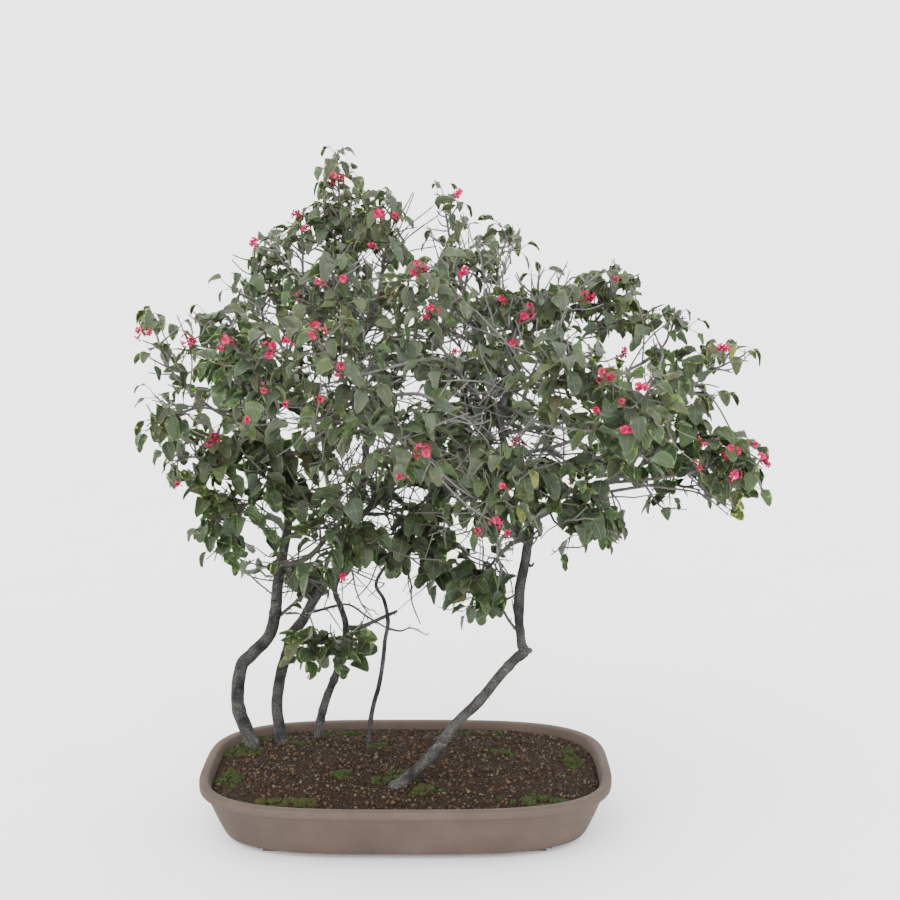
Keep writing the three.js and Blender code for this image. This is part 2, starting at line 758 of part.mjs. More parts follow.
// Grows a twig with all that it bears. At each node a short stretch is turned so that one side of
// it looks the way of the first branch there.
function growTwig(owner, skin, twig, root) {
  const { spine, radii, bends, nodes, end, endWay = spine.getTangent(1) } = twig;
  const length = spine.getLength();
  let across = around(root.along, 0);
  const ringAt = (share, along = spine.getTangent(share), way = null) => {
    const square = (vector) => vector.clone().addScaledVector(along, -vector.dot(along)).normalize();
    across = square(across);
    if (way) {
      const aimed = [1, 3, 5].map((sixth) => square(way).applyAxisAngle(along, (sixth * Math.PI) / 3));
      across = aimed.sort((a, b) => b.dot(across) - a.dot(across))[0];
    }
    const radius = THREE.MathUtils.lerp(radii[0], radii[1], share);
    return [0, 1, 2].map((i) => {
      const spoke = across.clone().applyAxisAngle(along, (i * 2 * Math.PI) / 3);
      return spine.getPoint(share).addScaledVector(spoke, radius);
    });
  };
  const first = ringAt(root.share, root.along);
  let from;
  if (skin) {
    from = skin.extend(skin.open(root.face), first).next;
  } else {
    skin = new Growth(first);
    from = skin.end;
  }
  const stations = Array.from({ length: bends }, (_, i) => ({ share: (i + 1) / (bends + 1) }));
  stations.push(...nodes);
  stations.sort((a, b) => a.share - b.share);
  for (const station of stations) {
    if (!station.leaves) {
      from = skin.extend(from, ringAt(station.share)).next;
      continue;
    }
    const half = NODE_LENGTH / 2 / length;
    const along = spine.getTangent(station.share);
    const [branch] = station.twigs;
    const way = branch ? branch.spine.getTangent(0) : station.leaves[0].rise;
    from = skin.extend(from, ringAt(station.share - half, along, way)).next;
    const { next, sides } = skin.extend(from, ringAt(station.share + half, along));
    from = next;
    const face = branch && sideFacing(skin, sides, way);
    if (face) {
      sides.splice(sides.indexOf(face), 1);
      growTwig(owner, skin, branch, { face, along: way, share: COLLAR / branch.spine.getLength() });
    }
    for (const leaf of station.leaves) growLeaf(owner, skin, sides, leaf);
  }
  const last = skin.face(skin.extend(from, ringAt(1, endWay)).next);
  if (end.petal) growHead(skin, last, end);
  else if (end.rise) growLeaf(owner, skin, [last], end);
  return skin;
}

// A five-petalled flower that widens from its pedicel, as the outline of its rim from above.
const FULL_PETAL = [[-0.5, 0.36, 0], [-0.24, 0.96, 2], [0.24, 0.96, 2]];
const SMALL_PETAL = [[-0.5, 0.5, 0], [0, 1.06, 2]];

function growFlower(skin, face, from, way, petal) {
  const neck = from.clone().addScaledVector(way, FLOWER.pedicel);
  const ring = ringOfThree(neck, way, FLOWER.neck);
  const { next } = skin.extend(skin.open(face), ring);
  const middle = neck.clone().addScaledVector(way, FLOWER.depth);
  const across = skin.points[next[0]].clone().sub(neck).normalize().applyAxisAngle(way, -Math.PI / 3);
  const rim = [];
  for (let number = 0; number < 5; number++) {
    for (const [shift, share, lift] of petal) {
      const spoke = across.clone().applyAxisAngle(way, ((number + shift + 0.5) * 2 * Math.PI) / 5);
      rim.push(middle.clone().addScaledVector(spoke, FLOWER.radius * share).addScaledVector(way, lift));
    }
  }
  skin.flare(next, rim, middle);
}

// A head of flowers stands on a stalk: one at its end, and up to three round its last node.
function planBloom({ at, flowers }, from) {
  const centre = seen(at);
  const way = centre.clone().sub(from).normalize().addScaledVector(UP, 0.3).normalize();
  const neck = centre.clone().addScaledVector(way, -STALK.length);
  return { centre, way, neck, flowers };
}

function growHead(skin, face, { centre, way, flowers, petal }) {
  const nodeStart = centre.clone().addScaledVector(way, -NODE_LENGTH);
  const ring = ringOfThree(nodeStart, way, STALK.radius);
  const low = skin.extend(skin.open(face), ring).next;
  const { next, sides } = skin.extend(low, ringOfThree(centre, way, STALK.radius));
  const last = skin.face(next);
  if (flowers !== 2) growFlower(skin, last, centre, way, petal);
  const round = flowers === 2 ? 2 : flowers - 1;
  for (const side of sides.slice(0, round)) {
    const [a, b, c] = side.map((i) => skin.points[i]);
    const triangle = new THREE.Triangle(a, b, c);
    const out = triangle.getNormal(new THREE.Vector3()).addScaledVector(way, 0.22).normalize();
    growFlower(skin, side, triangle.getMidpoint(new THREE.Vector3()), out, petal);
  }
}

function bloomSolid(plan, start) {
  const skin = new Growth(ringOfThree(start, plan.way, STALK.radius));
  growHead(skin, skin.face(skin.end), plan);
  return skin.solid();
}

// A bloom grows from the place on a spray's main twig that is nearest, of those that it can leave
// at a fair angle.
function rootOfBloom(centre, plans) {
  let best = { distance: Infinity };
  for (const [name, { main }] of Object.entries(plans)) {
    for (const share of TWIG.blooms) {
      const point = main.spine.getPoint(share);
      const along = main.spine.getTangent(share);
      const away = centre.clone().sub(point);
      const distance = away.length();
      const lean = away.normalize().dot(along);
      const taken = main.nodes.some((node) => node.share === share);
      if (taken || Math.abs(lean) > 0.8 || distance > best.distance) continue;
      best = { name, share, point, along, away, distance };
    }
  }
  return best;
}

// The shoot that carries a bloom leaves its twig sideways and comes up under the stalk.
function bloomShoot({ point, along, away }, { neck, way }) {
  const reach = 0.35 * point.distanceTo(neck);
  const outward = away.clone().addScaledVector(along, -away.dot(along)).normalize();
  outward.addScaledVector(along, 0.5).normalize();
  const spine = new THREE.CubicBezierCurve3(
    point,
    point.clone().addScaledVector(outward, reach),
    neck.clone().addScaledVector(way, -reach),
    neck,
  );
  return { spine, radii: [SHOOT.radius, STALK.radius], bends: 1, nodes: [], endWay: way };
}

// A twig or a shoot without what it bears.
function bareTwig({ spine, radii, bends, endWay }, from, startWay) {
  const step = (1 - from) / (bends + 1);
  const points = Array.from({ length: bends + 2 }, (_, i) => spine.getPoint(from + step * i));
  return rod(points, ...radii, 3, { startWay, endWay });
}

// Everything is built wood first, so that what comes later can be kept clear of it.
const parts = {};
const stemHoles = [];
const wooden = {};
for (const [name, plan] of Object.entries(STEMS)) {
  const { stem, hole } = makeStem(name, plan);
  wooden[name] = [stem];
  stemHoles.push(hole);
}
for (const [name, spray] of Object.entries(SPRAYS)) {
  wooden[stemUnder(name)].push(makeLimb(name, spray));
}
for (const [name, pieces] of Object.entries(wooden)) {
  parts[name] = place(name, wasm.Manifold.union(pieces));
}

const plans = {};
Object.entries(SPRAYS).forEach(([name, spray], number) => {
  plans[name] = planSpray(name, spray, FIRST_SEED + number);
  place(name, bareTwig(plans[name].main, 0, plans[name].heading));
});

[...BLOOM_HEADS, ...SMALL_BLOOMS].forEach((bloom, number) => {
  const own = number < BLOOM_HEADS.length;
  const root = rootOfBloom(seen(bloom.at), plans);
  const head = { ...planBloom(bloom, root.point), petal: own ? FULL_PETAL : SMALL_PETAL };
  const start = head.neck.clone().addScaledVector(head.way, SEAT_GAP);
  const label = own ? `bloom_${number + 1}` : root.name;
  const solid = place(label, bloomSolid(head, start));
  if (own) parts[label] = solid;
  const shoot = { ...bloomShoot(root, head), end: own ? {} : head };
  place(root.name, bareTwig(shoot, 0.15));
  plans[root.name].main.nodes.push({ share: root.share, leaves: [], twigs: [shoot] });
});

// A shoot that would cross something is left out.
for (const [name, { main }] of Object.entries(plans)) {
  main.nodes = main.nodes.filter(({ share, twigs }) => {
    if (!TWIG.shoots.includes(share)) return true;
    const shoot = bareTwig(twigs[0], 0.15);
    const clear = isClear(name, shoot);
    if (clear) place(name, shoot);
    return clear;
  });
}

for (const [name, { main, heading }] of Object.entries(plans)) {
  parts[`spray_${name}`] = growTwig(name, null, main, { along: heading, share: 0 }).solid();
}

const tree = new THREE.Group();
const LOOKS = {
  tray: { color: 0x4d4038, roughness: 0.75 },
  screen: { color: 0x1d1f1e, roughness: 0.6 },
  soil: { color: 0x3f3126, roughness: 1 },
  stem: { color: 0x6a6560, roughness: 0.9 },
  spray: { color: 0x4c6340, roughness: 0.6 },
  bloom: { color: 0xd8345c, roughness: 0.55 },
};

function show(name, solid) {
  const mesh = solid.getMesh();
  const geometry = new THREE.BufferGeometry();
  const positions = new Float32Array(mesh.numVert * 3);
  for (let i = 0; i < mesh.numVert; i++) positions.set(mesh.position(i), i * 3);
  geometry.setAttribute("position", new THREE.BufferAttribute(positions, 3));
  geometry.setIndex(new THREE.BufferAttribute(mesh.triVerts, 1));
  geometry.computeVertexNormals();
  const look = LOOKS[name.split("_")[0]];
  const shown = new THREE.Mesh(geometry, new THREE.MeshStandardMaterial({ metalness: 0, ...look }));
  shown.name = name;
  tree.add(shown);
}

show("tray", makeTray());
show("screen_left", makeScreen(-DRAIN.x));
show("screen_right", makeScreen(DRAIN.x));
show("soil", makeSoil(stemHoles));
for (const [name, solid] of Object.entries(parts)) show(name, solid);

export default tree;
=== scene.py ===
"""The looks of a potted jatropha bonsai: bark, foliage, blooms, clay, soil and moss.

Lengths are millimetres until a piece is made. The plan of stems, limbs, sprays and blooms repeats
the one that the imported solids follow, and what is finer than they are grows on it by seeded rules.
"""

import math
from collections import namedtuple
from dataclasses import astuple, dataclass

import bmesh
import bpy
import numpy as np
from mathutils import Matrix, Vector, kdtree, noise


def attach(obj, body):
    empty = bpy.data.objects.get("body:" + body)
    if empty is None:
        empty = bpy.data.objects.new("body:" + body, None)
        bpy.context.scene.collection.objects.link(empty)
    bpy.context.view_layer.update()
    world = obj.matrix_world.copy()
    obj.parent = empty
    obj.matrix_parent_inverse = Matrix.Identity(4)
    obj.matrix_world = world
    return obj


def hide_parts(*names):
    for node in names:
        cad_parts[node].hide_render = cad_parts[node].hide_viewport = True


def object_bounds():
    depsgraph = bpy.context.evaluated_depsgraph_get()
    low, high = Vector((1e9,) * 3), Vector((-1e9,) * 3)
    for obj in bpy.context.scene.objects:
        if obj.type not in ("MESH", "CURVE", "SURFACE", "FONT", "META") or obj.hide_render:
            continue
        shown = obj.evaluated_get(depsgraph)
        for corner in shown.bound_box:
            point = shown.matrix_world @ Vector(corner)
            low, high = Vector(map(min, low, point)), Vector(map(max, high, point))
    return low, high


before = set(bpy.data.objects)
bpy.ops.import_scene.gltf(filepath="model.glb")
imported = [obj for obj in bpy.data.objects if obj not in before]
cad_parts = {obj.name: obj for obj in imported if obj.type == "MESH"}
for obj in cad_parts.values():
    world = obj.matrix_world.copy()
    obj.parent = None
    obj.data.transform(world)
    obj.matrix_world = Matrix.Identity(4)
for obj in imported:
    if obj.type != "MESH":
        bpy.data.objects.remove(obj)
cad_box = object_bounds()

MM = 0.001
FULL_TURN = 2 * math.pi
GOLDEN_ANGLE = math.pi * (3 - math.sqrt(5))
UP = np.array([0.0, 0.0, 1.0])

# The view that the places below are given in: across, up, and how far behind a picture plane
# that stands square to the line of sight.
VIEW_CENTRE = np.array([90.0, 0.0, 778.0])
VIEW_DISTANCE = 3000
LOOK_DOWN = math.radians(10)
SIGHT_UP = np.array([0.0, math.sin(LOOK_DOWN), math.cos(LOOK_DOWN)])
SIGHT_AHEAD = np.array([0.0, math.cos(LOOK_DOWN), -math.sin(LOOK_DOWN)])

# Each stem's root is where it leaves the soil, and its route climbs from there.
Stem = namedtuple("Stem", "root radii route")
STEMS = {
    "stem_left": Stem((-336, 126), (14.5, 4.5), [
        (-424, -510, 255), (-418, -436, 248), (-396, -408, 245), (-362, -372, 240), (-350, -328, 236),
        (-346, -286, 232), (-342, -246, 228), (-334, -204, 222), (-326, -164, 215), (-322, -110, 205),
        (-332, -40, 190), (-348, 40, 175), (-360, 120, 160), (-364, 200, 145),
    ]),
    "stem_middle": Stem((-276, 146), (12.5, 4.5), [
        (-346, -510, 270), (-338, -446, 262), (-326, -408, 256), (-318, -372, 250), (-294, -340, 244),
        (-276, -306, 238), (-256, -274, 230), (-232, -246, 222), (-206, -206, 210), (-188, -150, 195),
        (-176, -80, 175), (-168, 0, 150), (-168, 90, 125), (-180, 180, 100), (-196, 270, 75),
    ]),
    "stem_low": Stem((-196, 156), (9.5, 3.5), [
        (-260, -544, 270), (-252, -512, 266), (-240, -478, 260), (-228, -450, 255), (-216, -404, 246),
        (-208, -356, 222), (-218, -316, 196), (-230, -282, 176), (-220, -246, 160), (-208, -196, 140),
    ]),
    "stem_thin": Stem((-86, 107), (5.2, 2.8), [
        (-158, -536, 218), (-152, -506, 214), (-142, -470, 210), (-134, -422, 204), (-130, -380, 198),
        (-124, -344, 190), (-132, -300, 180), (-148, -270, 168), (-132, -236, 150), (-104, -204, 130),
    ]),
    "stem_right": Stem((-10, -120), (14.5, 4.5), [
        (-36, -610, -8), (10, -550, -14), (60, -500, -20), (106, -444, -26), (148, -402, -30),
        (138, -336, -30), (140, -276, -28), (152, -212, -24), (158, -144, -16), (134, -56, -4),
        (104, 32, 8), (110, 108, 18), (140, 176, 28), (168, 244, 36),
    ]),
}

# Each spray hangs on a limb. The limb leaves the stem or limb "on" at its point number "at", bends
# through "via" and ends at "base", where the spray starts. Its main twig runs on to "end".
Spray = namedtuple("Spray", "on at via base end reach shoots")
SPRAYS = {
    "left_tip": Spray("stem_left", 12, [(-452, 70, 40)], (-520, 116, -10), (-596, 264, -30), 72, 9),
    "left_arm": Spray("left_tip", 1.5, [(-510, 84, -10)], (-534, 76, -50), (-596, 60, -70), 72, 9),
    "left_low": Spray("stem_left", 11, [(-400, -36, 120)], (-452, -24, 60), (-552, -10, 20), 95, 12),
    "left_hanging": Spray("stem_left", 10, [(-370, -96, 110)], (-410, -110, 30), (-476, -190, 0), 84, 11),
    "left_shoulder": Spray("stem_left", 13, [(-404, 130, 40)], (-436, 170, -50), (-488, 272, -70), 92, 12),
    "left_crest": Spray("stem_left", 13.9, [(-370, 240, 120)], (-376, 276, 100), (-394, 384, 60), 92, 12),
    "left_crown": Spray("stem_left", 13.2, [(-324, 190, 120)], (-304, 276, 80), (-296, 444, 30), 88, 13),
    "left_front": Spray("stem_left", 11.5, [(-340, 20, 20)], (-356, 90, -140), (-420, 196, -220), 120, 14),
    "left_back": Spray("stem_left", 12.5, [(-376, 90, 240)], (-400, 100, 300), (-420, 190, 340), 125, 13),
    "peak": Spray("stem_middle", 15, [], (-208, 364, 50), (-226, 588, 10), 74, 13),
    "small_peak": Spray("stem_middle", 14.3, [(-156, 260, 60)], (-132, 376, 10), (-114, 508, -30), 60, 9),
    "centre_top": Spray("stem_middle", 14, [(-200, 210, 0)], (-210, 250, -60), (-240, 372, -120), 112, 13),
    "centre_front": Spray(
        "stem_middle", 12.5, [(-180, 50, -20)],
        (-200, 116, -160), (-264, 210, -250), 120, 14,
    ),
    "centre_back": Spray(
        "stem_middle", 13, [(-188, 130, 220)],
        (-190, 200, 280), (-210, 320, 300), 125, 13,
    ),
    "mid_front": Spray("stem_middle", 11.5, [(-150, -30, 0)], (-130, 0, -140), (-80, 30, -240), 112, 13),
    "low_centre": Spray("stem_low", 10, [(-208, -184, 80)], (-214, -190, 20), (-230, -170, -70), 96, 12),
    "crossing": Spray(
        "stem_left", 7.3, [(-280, -212, 190), (-224, -148, 150), (-178, -128, 110)],
        (-110, -78, 60), (-20, -40, 0), 105, 12,
    ),
    "skirt": Spray("stem_low", 4.5, [(-210, -420, 200)], (-220, -400, 165), (-290, -376, 120), 80, 10),
    "centre_low": Spray("stem_thin", 10, [], (-84, -194, 110), (-20, -220, 40), 96, 12),
    "peak_right": Spray("stem_right", 12.3, [(60, 210, 20)], (24, 320, 10), (-14, 512, -10), 68, 12),
    "crest_right": Spray("stem_right", 13, [(120, 260, 50)], (100, 320, 60), (116, 428, 60), 56, 8),
    "top_front": Spray("stem_right", 11.3, [(40, 120, -20)], (-20, 210, -110), (-60, 350, -170), 108, 13),
    "right_top": Spray("stem_right", 14, [], (176, 272, 20), (156, 320, -60), 94, 12),
    "shoulder_right": Spray("stem_right", 13.3, [(220, 180, 40)], (270, 230, 40), (344, 336, 30), 98, 13),
    "hook_right": Spray("stem_right", 12.6, [(280, 130, 20)], (390, 176, 0), (452, 264, -10), 62, 9),
    "right_lobe": Spray(
        "stem_right", 9, [(280, -82, 10), (350, -46, 0), (380, -4, -10)],
        (460, 100, -20), (588, 190, -40), 78, 10,
    ),
    "right_front": Spray("stem_right", 10.5, [(220, 10, -90)], (310, 50, -170), (400, 116, -230), 122, 14),
    "right_back": Spray("stem_right", 11, [(200, 50, 140)], (300, 70, 220), (410, 110, 280), 125, 13),
    "far_right": Spray("right_lobe", 1.4, [(420, -56, -20)], (500, -40, -40), (600, -4, -50), 90, 12),
    "right_low": Spray("right_lobe", 0.8, [(340, -80, 60)], (400, -70, 90), (500, -80, 110), 78, 9),
    "under_right": Spray(
        "stem_right", 9.3, [(190, -110, -60)],
        (220, -110, -90), (296, -164, -110), 80, 10,
    ),
    "trunk_front": Spray("stem_right", 10, [(130, -40, -90)], (116, -40, -150), (76, -120, -220), 100, 12),
    "low_right": Spray("stem_right", 8.6, [(120, -190, -40)], (90, -220, -50), (40, -310, -60), 80, 10),
    "right_centre": Spray("stem_right", 12, [(160, 130, -60)], (190, 130, -130), (240, 200, -200), 108, 13),
    "back_centre": Spray("stem_right", 11.6, [(80, 100, 180)], (50, 140, 260), (10, 240, 310), 125, 13),
}

# The places of the bloom heads. The first ones are solids of their own in the frame, the small ones
# are part of their spray's, and the late ones are half open and stand in no solid.
BLOOM_HEADS = [
    (-478, 24, -60), (274, 302, -60), (-522, 218, -90), (-54, -4, -290), (-266, 240, -320),
    (-450, 216, -260), (566, -48, -110), (-64, 364, -230), (562, 0, -120), (150, 270, -130),
    (310, 148, -290), (-40, 280, -240), (546, 200, -120), (-616, 236, -100), (-230, 546, -40),
    (136, 20, -110),
]
SMALL_BLOOMS = [
    (-216, 340, -180), (-358, 202, -290), (622, -22, -100), (-300, 308, -30), (108, 298, -110),
    (86, -142, -290), (-218, 164, -300), (338, 188, -110), (132, 208, -170), (350, 42, -290),
    (-124, 310, -110), (-214, -246, -40), (-320, 222, -60), (12, 508, -40), (-390, 410, 10),
    (-300, 470, -10), (-140, 472, -90), (26, 356, -80), (380, 126, -290), (440, -40, 60), (-456, 204, 410),
    (-230, 340, 390), (0, 250, 400), (420, 130, 370), (60, 120, 370), (330, 330, 90),
]
LATE_BLOOMS = [
    (-106, 462, -110), (-282, 440, -60), (-254, 336, -190), (-318, 212, -290), (-374, 126, -290),
    (-330, 94, -300), (-262, 106, -300), (-408, 52, -260), (-148, 404, -170), (166, 288, -150),
    (324, 344, -90), (348, 86, -290), (298, 74, -290), (494, 22, -200), (14, 198, -280), (598, 14, -130),
    (486, -22, -200), (114, -78, -290), (58, -170, -240), (110, -166, -250), (-90, -50, -290),
    (-540, -68, -90), (-270, -444, 150), (-380, 250, 350), (-120, 420, 270), (180, 260, 340),
    (330, 60, 340), (-300, 60, 400), (-60, 60, 410), (240, -60, 320), (-480, 40, 280),
]

TRAY = {"half_length": 420, "half_depth": 255, "squareness": 3.4}
SOIL = {"edge": 104, "dome": 22, "grain": 3}
LEAF = {"length": 54, "shape": 0.62, "petiole": 20, "steepest": 0.7, "thick": 0.35}
TWIG = {"radii": (3.1, 1.9), "shoots": (0.12, 0.42, 0.72), "blooms": (0.27, 0.57, 0.87)}
SLENDER_REACH = 75
SHOOT = {"radii": (2.1, 1.5), "full": 0.86, "pair": 0.84}
STALK = {"radius": 1.7, "length": 24, "node": 4}
FLOWER = {"radius": 12.5, "pedicel": 7, "depth": 7, "thick": 0.18}
SEAT_GAP = 0.3
BURIED = 60

# Where the random draws for each kind of piece start.
SEEDS = {
    "solids": 4100, "sprays": 700, "stems": 40, "inner": 300, "tangles": 600, "blooms": 900,
    "late_blooms": 980, "grains": 11, "moss": 23,
}


def unit(vector):
    return vector / np.linalg.norm(vector)


def turned(vector, axis, angle):
    along = axis * np.dot(axis, vector) * (1 - math.cos(angle))
    return vector * math.cos(angle) + np.cross(axis, vector) * math.sin(angle) + along


def around(axis, turn):
    """A way square to the axis, turned about it from the level."""
    level = np.cross(axis, UP)
    if np.linalg.norm(level) < 1e-6:
        level = np.array([1.0, 0.0, 0.0])
    return turned(unit(level), axis, turn)


def seen(place):
    across, up, behind = place
    spread = 1 + behind / VIEW_DISTANCE
    level = np.array([across * spread, 0.0, 0.0])
    return VIEW_CENTRE + level + SIGHT_UP * up * spread + SIGHT_AHEAD * behind


def in_view(point):
    """How far across and up a place stands in the view."""
    away = point - VIEW_CENTRE
    spread = 1 + np.dot(away, SIGHT_AHEAD) / VIEW_DISTANCE
    return away[0] / spread, np.dot(away, SIGHT_UP) / spread


def even_draws(seed):
    """The same draws between 0 and 1 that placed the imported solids."""
    state = seed

    def draw():
        nonlocal state
        state = state * 48271 % 2147483647
        return state / 2147483647

    return draw


def lengths_along(points):
    return np.concatenate([[0], np.linalg.norm(np.diff(points, axis=0), axis=1).cumsum()])


class Curve:
    """A line in space that runs from share 0 to share 1."""

    def way(self, share):
        low, high = max(share - 1e-4, 0), min(share + 1e-4, 1)
        return unit(self.at(high) - self.at(low))

    def points(self, step, start=0.0):
        length = lengths_along([self.at(share) for share in np.linspace(start, 1, 12)])[-1]
        count = max(3, math.ceil(length / step) + 1)
        return np.array([self.at(share) for share in np.linspace(start, 1, count)])


class Route(Curve):
    """A smooth line through the given points."""

    def __init__(self, points):
        given = np.array(points, float)
        self.through = np.vstack([2 * given[0] - given[1], given, 2 * given[-1] - given[-2]])

    def at(self, share):
        spans = len(self.through) - 3
        place = min(max(share, 0), 1) * spans
        span = min(int(place), spans - 1)
        t = place - span
        before, start, end, after = self.through[span : span + 4]
        leave, arrive = (end - before) / 2, (after - start) / 2
        square = 3 * (end - start) - 2 * leave - arrive
        cube = 2 * (start - end) + leave + arrive
        return start + leave * t + square * t**2 + cube * t**3


class Bow(Curve):
    """A Bezier curve of three or four control points."""

    def __init__(self, *controls):
        self.controls = controls

    def at(self, share):
        points = list(self.controls)
        while len(points) > 1:
            points = [a + (b - a) * share for a, b in zip(points, points[1:])]
        return points[0]


@dataclass
class Leaf:
    root: np.ndarray
    rise: np.ndarray
    petiole: float
    length: float
    hang: float
    turn: float


# A twig's line, its radii at both ends and its leaves.
Twig = namedtuple("Twig", "spine radii leaves")


def plan_leaf(root, outward, draw):
    rise = unit(outward + UP * (0.1 + 0.5 * draw()))
    bearing = FULL_TURN * draw()
    if rise[2] > LEAF["steepest"]:
        level = unit(rise * [1, 1, 0] + 0.2 * np.array([math.cos(bearing), math.sin(bearing), 0]))
        rise = unit(level + UP * LEAF["steepest"] / math.sqrt(1 - LEAF["steepest"] ** 2))
    petiole = LEAF["petiole"] * (0.7 + 0.6 * draw())
    length = LEAF["length"] * (0.82 + 0.36 * draw())
    hang = 0.5 + 0.38 * draw()
    turn = (draw() - 0.5) * 1.5
    return Leaf(root, rise, petiole, length, hang, turn)


def plan_twig(points, radii, pairs, phase, draw):
    twig = Twig(Route(points), radii, [])
    for number, share in enumerate(pairs):
        along = twig.spine.way(share)
        for half in range(2):
            outward = around(along, phase + number * 1.9 + half * GOLDEN_ANGLE) + along * 0.3
            twig.leaves.append(plan_leaf(twig.spine.at(share), outward, draw))
    twig.leaves.append(plan_leaf(twig.spine.at(1), twig.spine.way(1), draw))
    return twig


def soil_height(x, y):
    n = TRAY["squareness"]
    out = (abs(x / TRAY["half_length"]) ** n + abs(y / TRAY["half_depth"]) ** n) ** (1 / n)
    grain = SOIL["grain"] * math.sin(x / 31) * math.cos(y / 23)
    return SOIL["edge"] + (SOIL["dome"] + grain) * max(0, 1 - out * out * 1.15)


# The stems and limbs by name. "under" is the radius of what carries a limb, less its taper.
Wood = namedtuple("Wood", "controls radii end_way under", defaults=(None, None))
wood = {}


def plan_stem(name, stem):
    ground = np.array([*stem.root, soil_height(*stem.root)])
    wood[name] = Wood([ground, *map(seen, stem.route)], stem.radii)


def plan_limb(name, spray):
    below = wood[spray.on]
    spans = len(below.controls) - 1
    start = Route(below.controls).at(spray.at / spans)
    thick, thin = below.radii
    here = thick + (thin - thick) * spray.at / spans
    controls = [start, *map(seen, spray.via), seen(spray.base)]
    route = Route(controls)
    steps = len(spray.via) + 2 if spray.via else 1
    radii = max(min(0.72 * here, 7), TWIG["radii"][0]), TWIG["radii"][0]
    wood[name] = Wood(controls, radii, unit(route.at(1) - route.at(1 - 1 / steps)), 0.6 * here)


def plan_spray(name, spray, seed):
    """The main twig of a spray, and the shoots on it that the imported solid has."""
    draw = even_draws(seed)
    heading = wood[name].end_way
    base, end = seen(spray.base) + heading * SEAT_GAP, seen(spray.end)
    middle = base + heading * 0.45 * np.linalg.norm(end - base)
    main = plan_twig([base, Bow(base, middle, end).at(0.5), end], TWIG["radii"], [], 0, draw)
    phase = FULL_TURN * draw()
    shares = TWIG["shoots"][1:] if spray.reach < SLENDER_REACH else TWIG["shoots"]
    shoots = []
    for k, share in enumerate(shares):
        along = main.spine.way(share)
        spin = phase + k * 2 * math.pi / len(shares) + (draw() - 0.5) * 0.5
        length = spray.reach * SHOOT["full"] * (1.08 - 0.3 * share)
        way = unit(around(along, spin) + along * (0.3 + 0.4 * draw()) + UP * 0.2)
        start = main.spine.at(share)
        line = [start, start + way * length]
        shoots.append(plan_twig(line, SHOOT["radii"], [SHOOT["pair"]], k, draw))
    return main, shoots


def plan_bloom(place, taken=()):
    """A bloom's spray, the curve of its shoot, and the node and way of its head. The shoot starts
    at the nearest place on a spray that isn't taken and that it leaves at a fair angle."""
    centre, best = seen(place), None
    for name, (main, _) in plans.items():
        for share in TWIG["blooms"]:
            point, along = main.spine.at(share), main.spine.way(share)
            distance = np.linalg.norm(centre - point)
            lean = np.dot(unit(centre - point), along)
            if (name, share) in taken or abs(lean) > 0.8 or (best and distance > best[0]):
                continue
            best = distance, name, share
    _, name, share = best
    spine = plans[name][0].spine
    point, along = spine.at(share), spine.way(share)
    away = unit(centre - point)
    way = unit(away + UP * 0.3)
    neck = centre - way * STALK["length"]
    reach = 0.35 * np.linalg.norm(neck - point)
    outward = unit(unit(away - along * np.dot(away, along)) + along * 0.5)
    bow = Bow(point, point + outward * reach, neck - way * reach, neck)
    return name, share, bow, centre, way, neck


for name, stem in STEMS.items():
    plan_stem(name, stem)
for name, spray in SPRAYS.items():
    plan_limb(name, spray)
plans = {}
for number, (name, spray) in enumerate(SPRAYS.items()):
    plans[name] = plan_spray(name, spray, SEEDS["solids"] + number)


def stem_under(name):
    return name if name in STEMS else stem_under(SPRAYS[name].on)


class Skin:
    """Points and faces that end up as one piece. A face's kind is the number of its material."""

    def __init__(self):
        self.points, self.quads, self.triangles = [], [], []
        self.uvs, self.tints, self.rims = [], [], []
        self.count = 0

    def add(self, points, quads=(), triangles=(), kinds=(0, 0), uv=None, tint=(0, 0, 0), rim=None):
        """Kinds are those of the quads and of the triangles: a number, or one for each face."""
        points = np.asarray(points, float).reshape(-1, 3)
        for faces, kind, kept in zip((quads, triangles), kinds, (self.quads, self.triangles)):
            if len(faces):
                faces = np.asarray(faces, int) + self.count
                kept.append(np.column_stack([faces, np.broadcast_to(kind, len(faces))]))
        self.points.append(points)
        self.uvs.append(np.zeros((len(points), 2)) if uv is None else uv)
        self.tints.append(np.broadcast_to(tint, (len(points), 3)))
        self.rims.append(np.zeros(len(points), bool) if rim is None else rim)
        self.count += len(points)

    def piece(self, name, materials, slot, replaces=()):
        quads = np.vstack([np.zeros((0, 5), int), *self.quads])
        triangles = np.vstack([np.zeros((0, 4), int), *self.triangles])
        mesh = bpy.data.meshes.new(name)
        faces = quads[:, :4].tolist() + triangles[:, :3].tolist()
        mesh.from_pydata((np.vstack(self.points) * MM).tolist(), [], faces)
        kinds = np.concatenate([quads[:, 4], triangles[:, 3]]).astype(np.int32)
        mesh.polygons.foreach_set("material_index", kinds)
        mesh.polygons.foreach_set("use_smooth", np.ones(len(faces), bool))
        corners = np.zeros(len(mesh.loops), np.int32)
        mesh.loops.foreach_get("vertex_index", corners)
        uv = mesh.uv_layers.new(name="UVMap")
        uv.data.foreach_set("uv", np.vstack(self.uvs)[corners].astype(np.float32).ravel())
        tint = mesh.color_attributes.new("tint", "FLOAT_COLOR", "POINT")
        colours = np.column_stack([np.vstack(self.tints), np.ones(self.count)])
        tint.data.foreach_set("color", colours.astype(np.float32).ravel())
        rim = np.concatenate(self.rims)
        if rim.any():
            edges = np.zeros(len(mesh.edges) * 2, np.int32)
            mesh.edges.foreach_get("vertices", edges)
            sharp = mesh.attributes.new("sharp_edge", "BOOLEAN", "EDGE")
            sharp.data.foreach_set("value", rim[edges.reshape(-1, 2)].all(axis=1))
        finish_piece(linked(name, mesh), materials, replaces)
        mesh.validate()


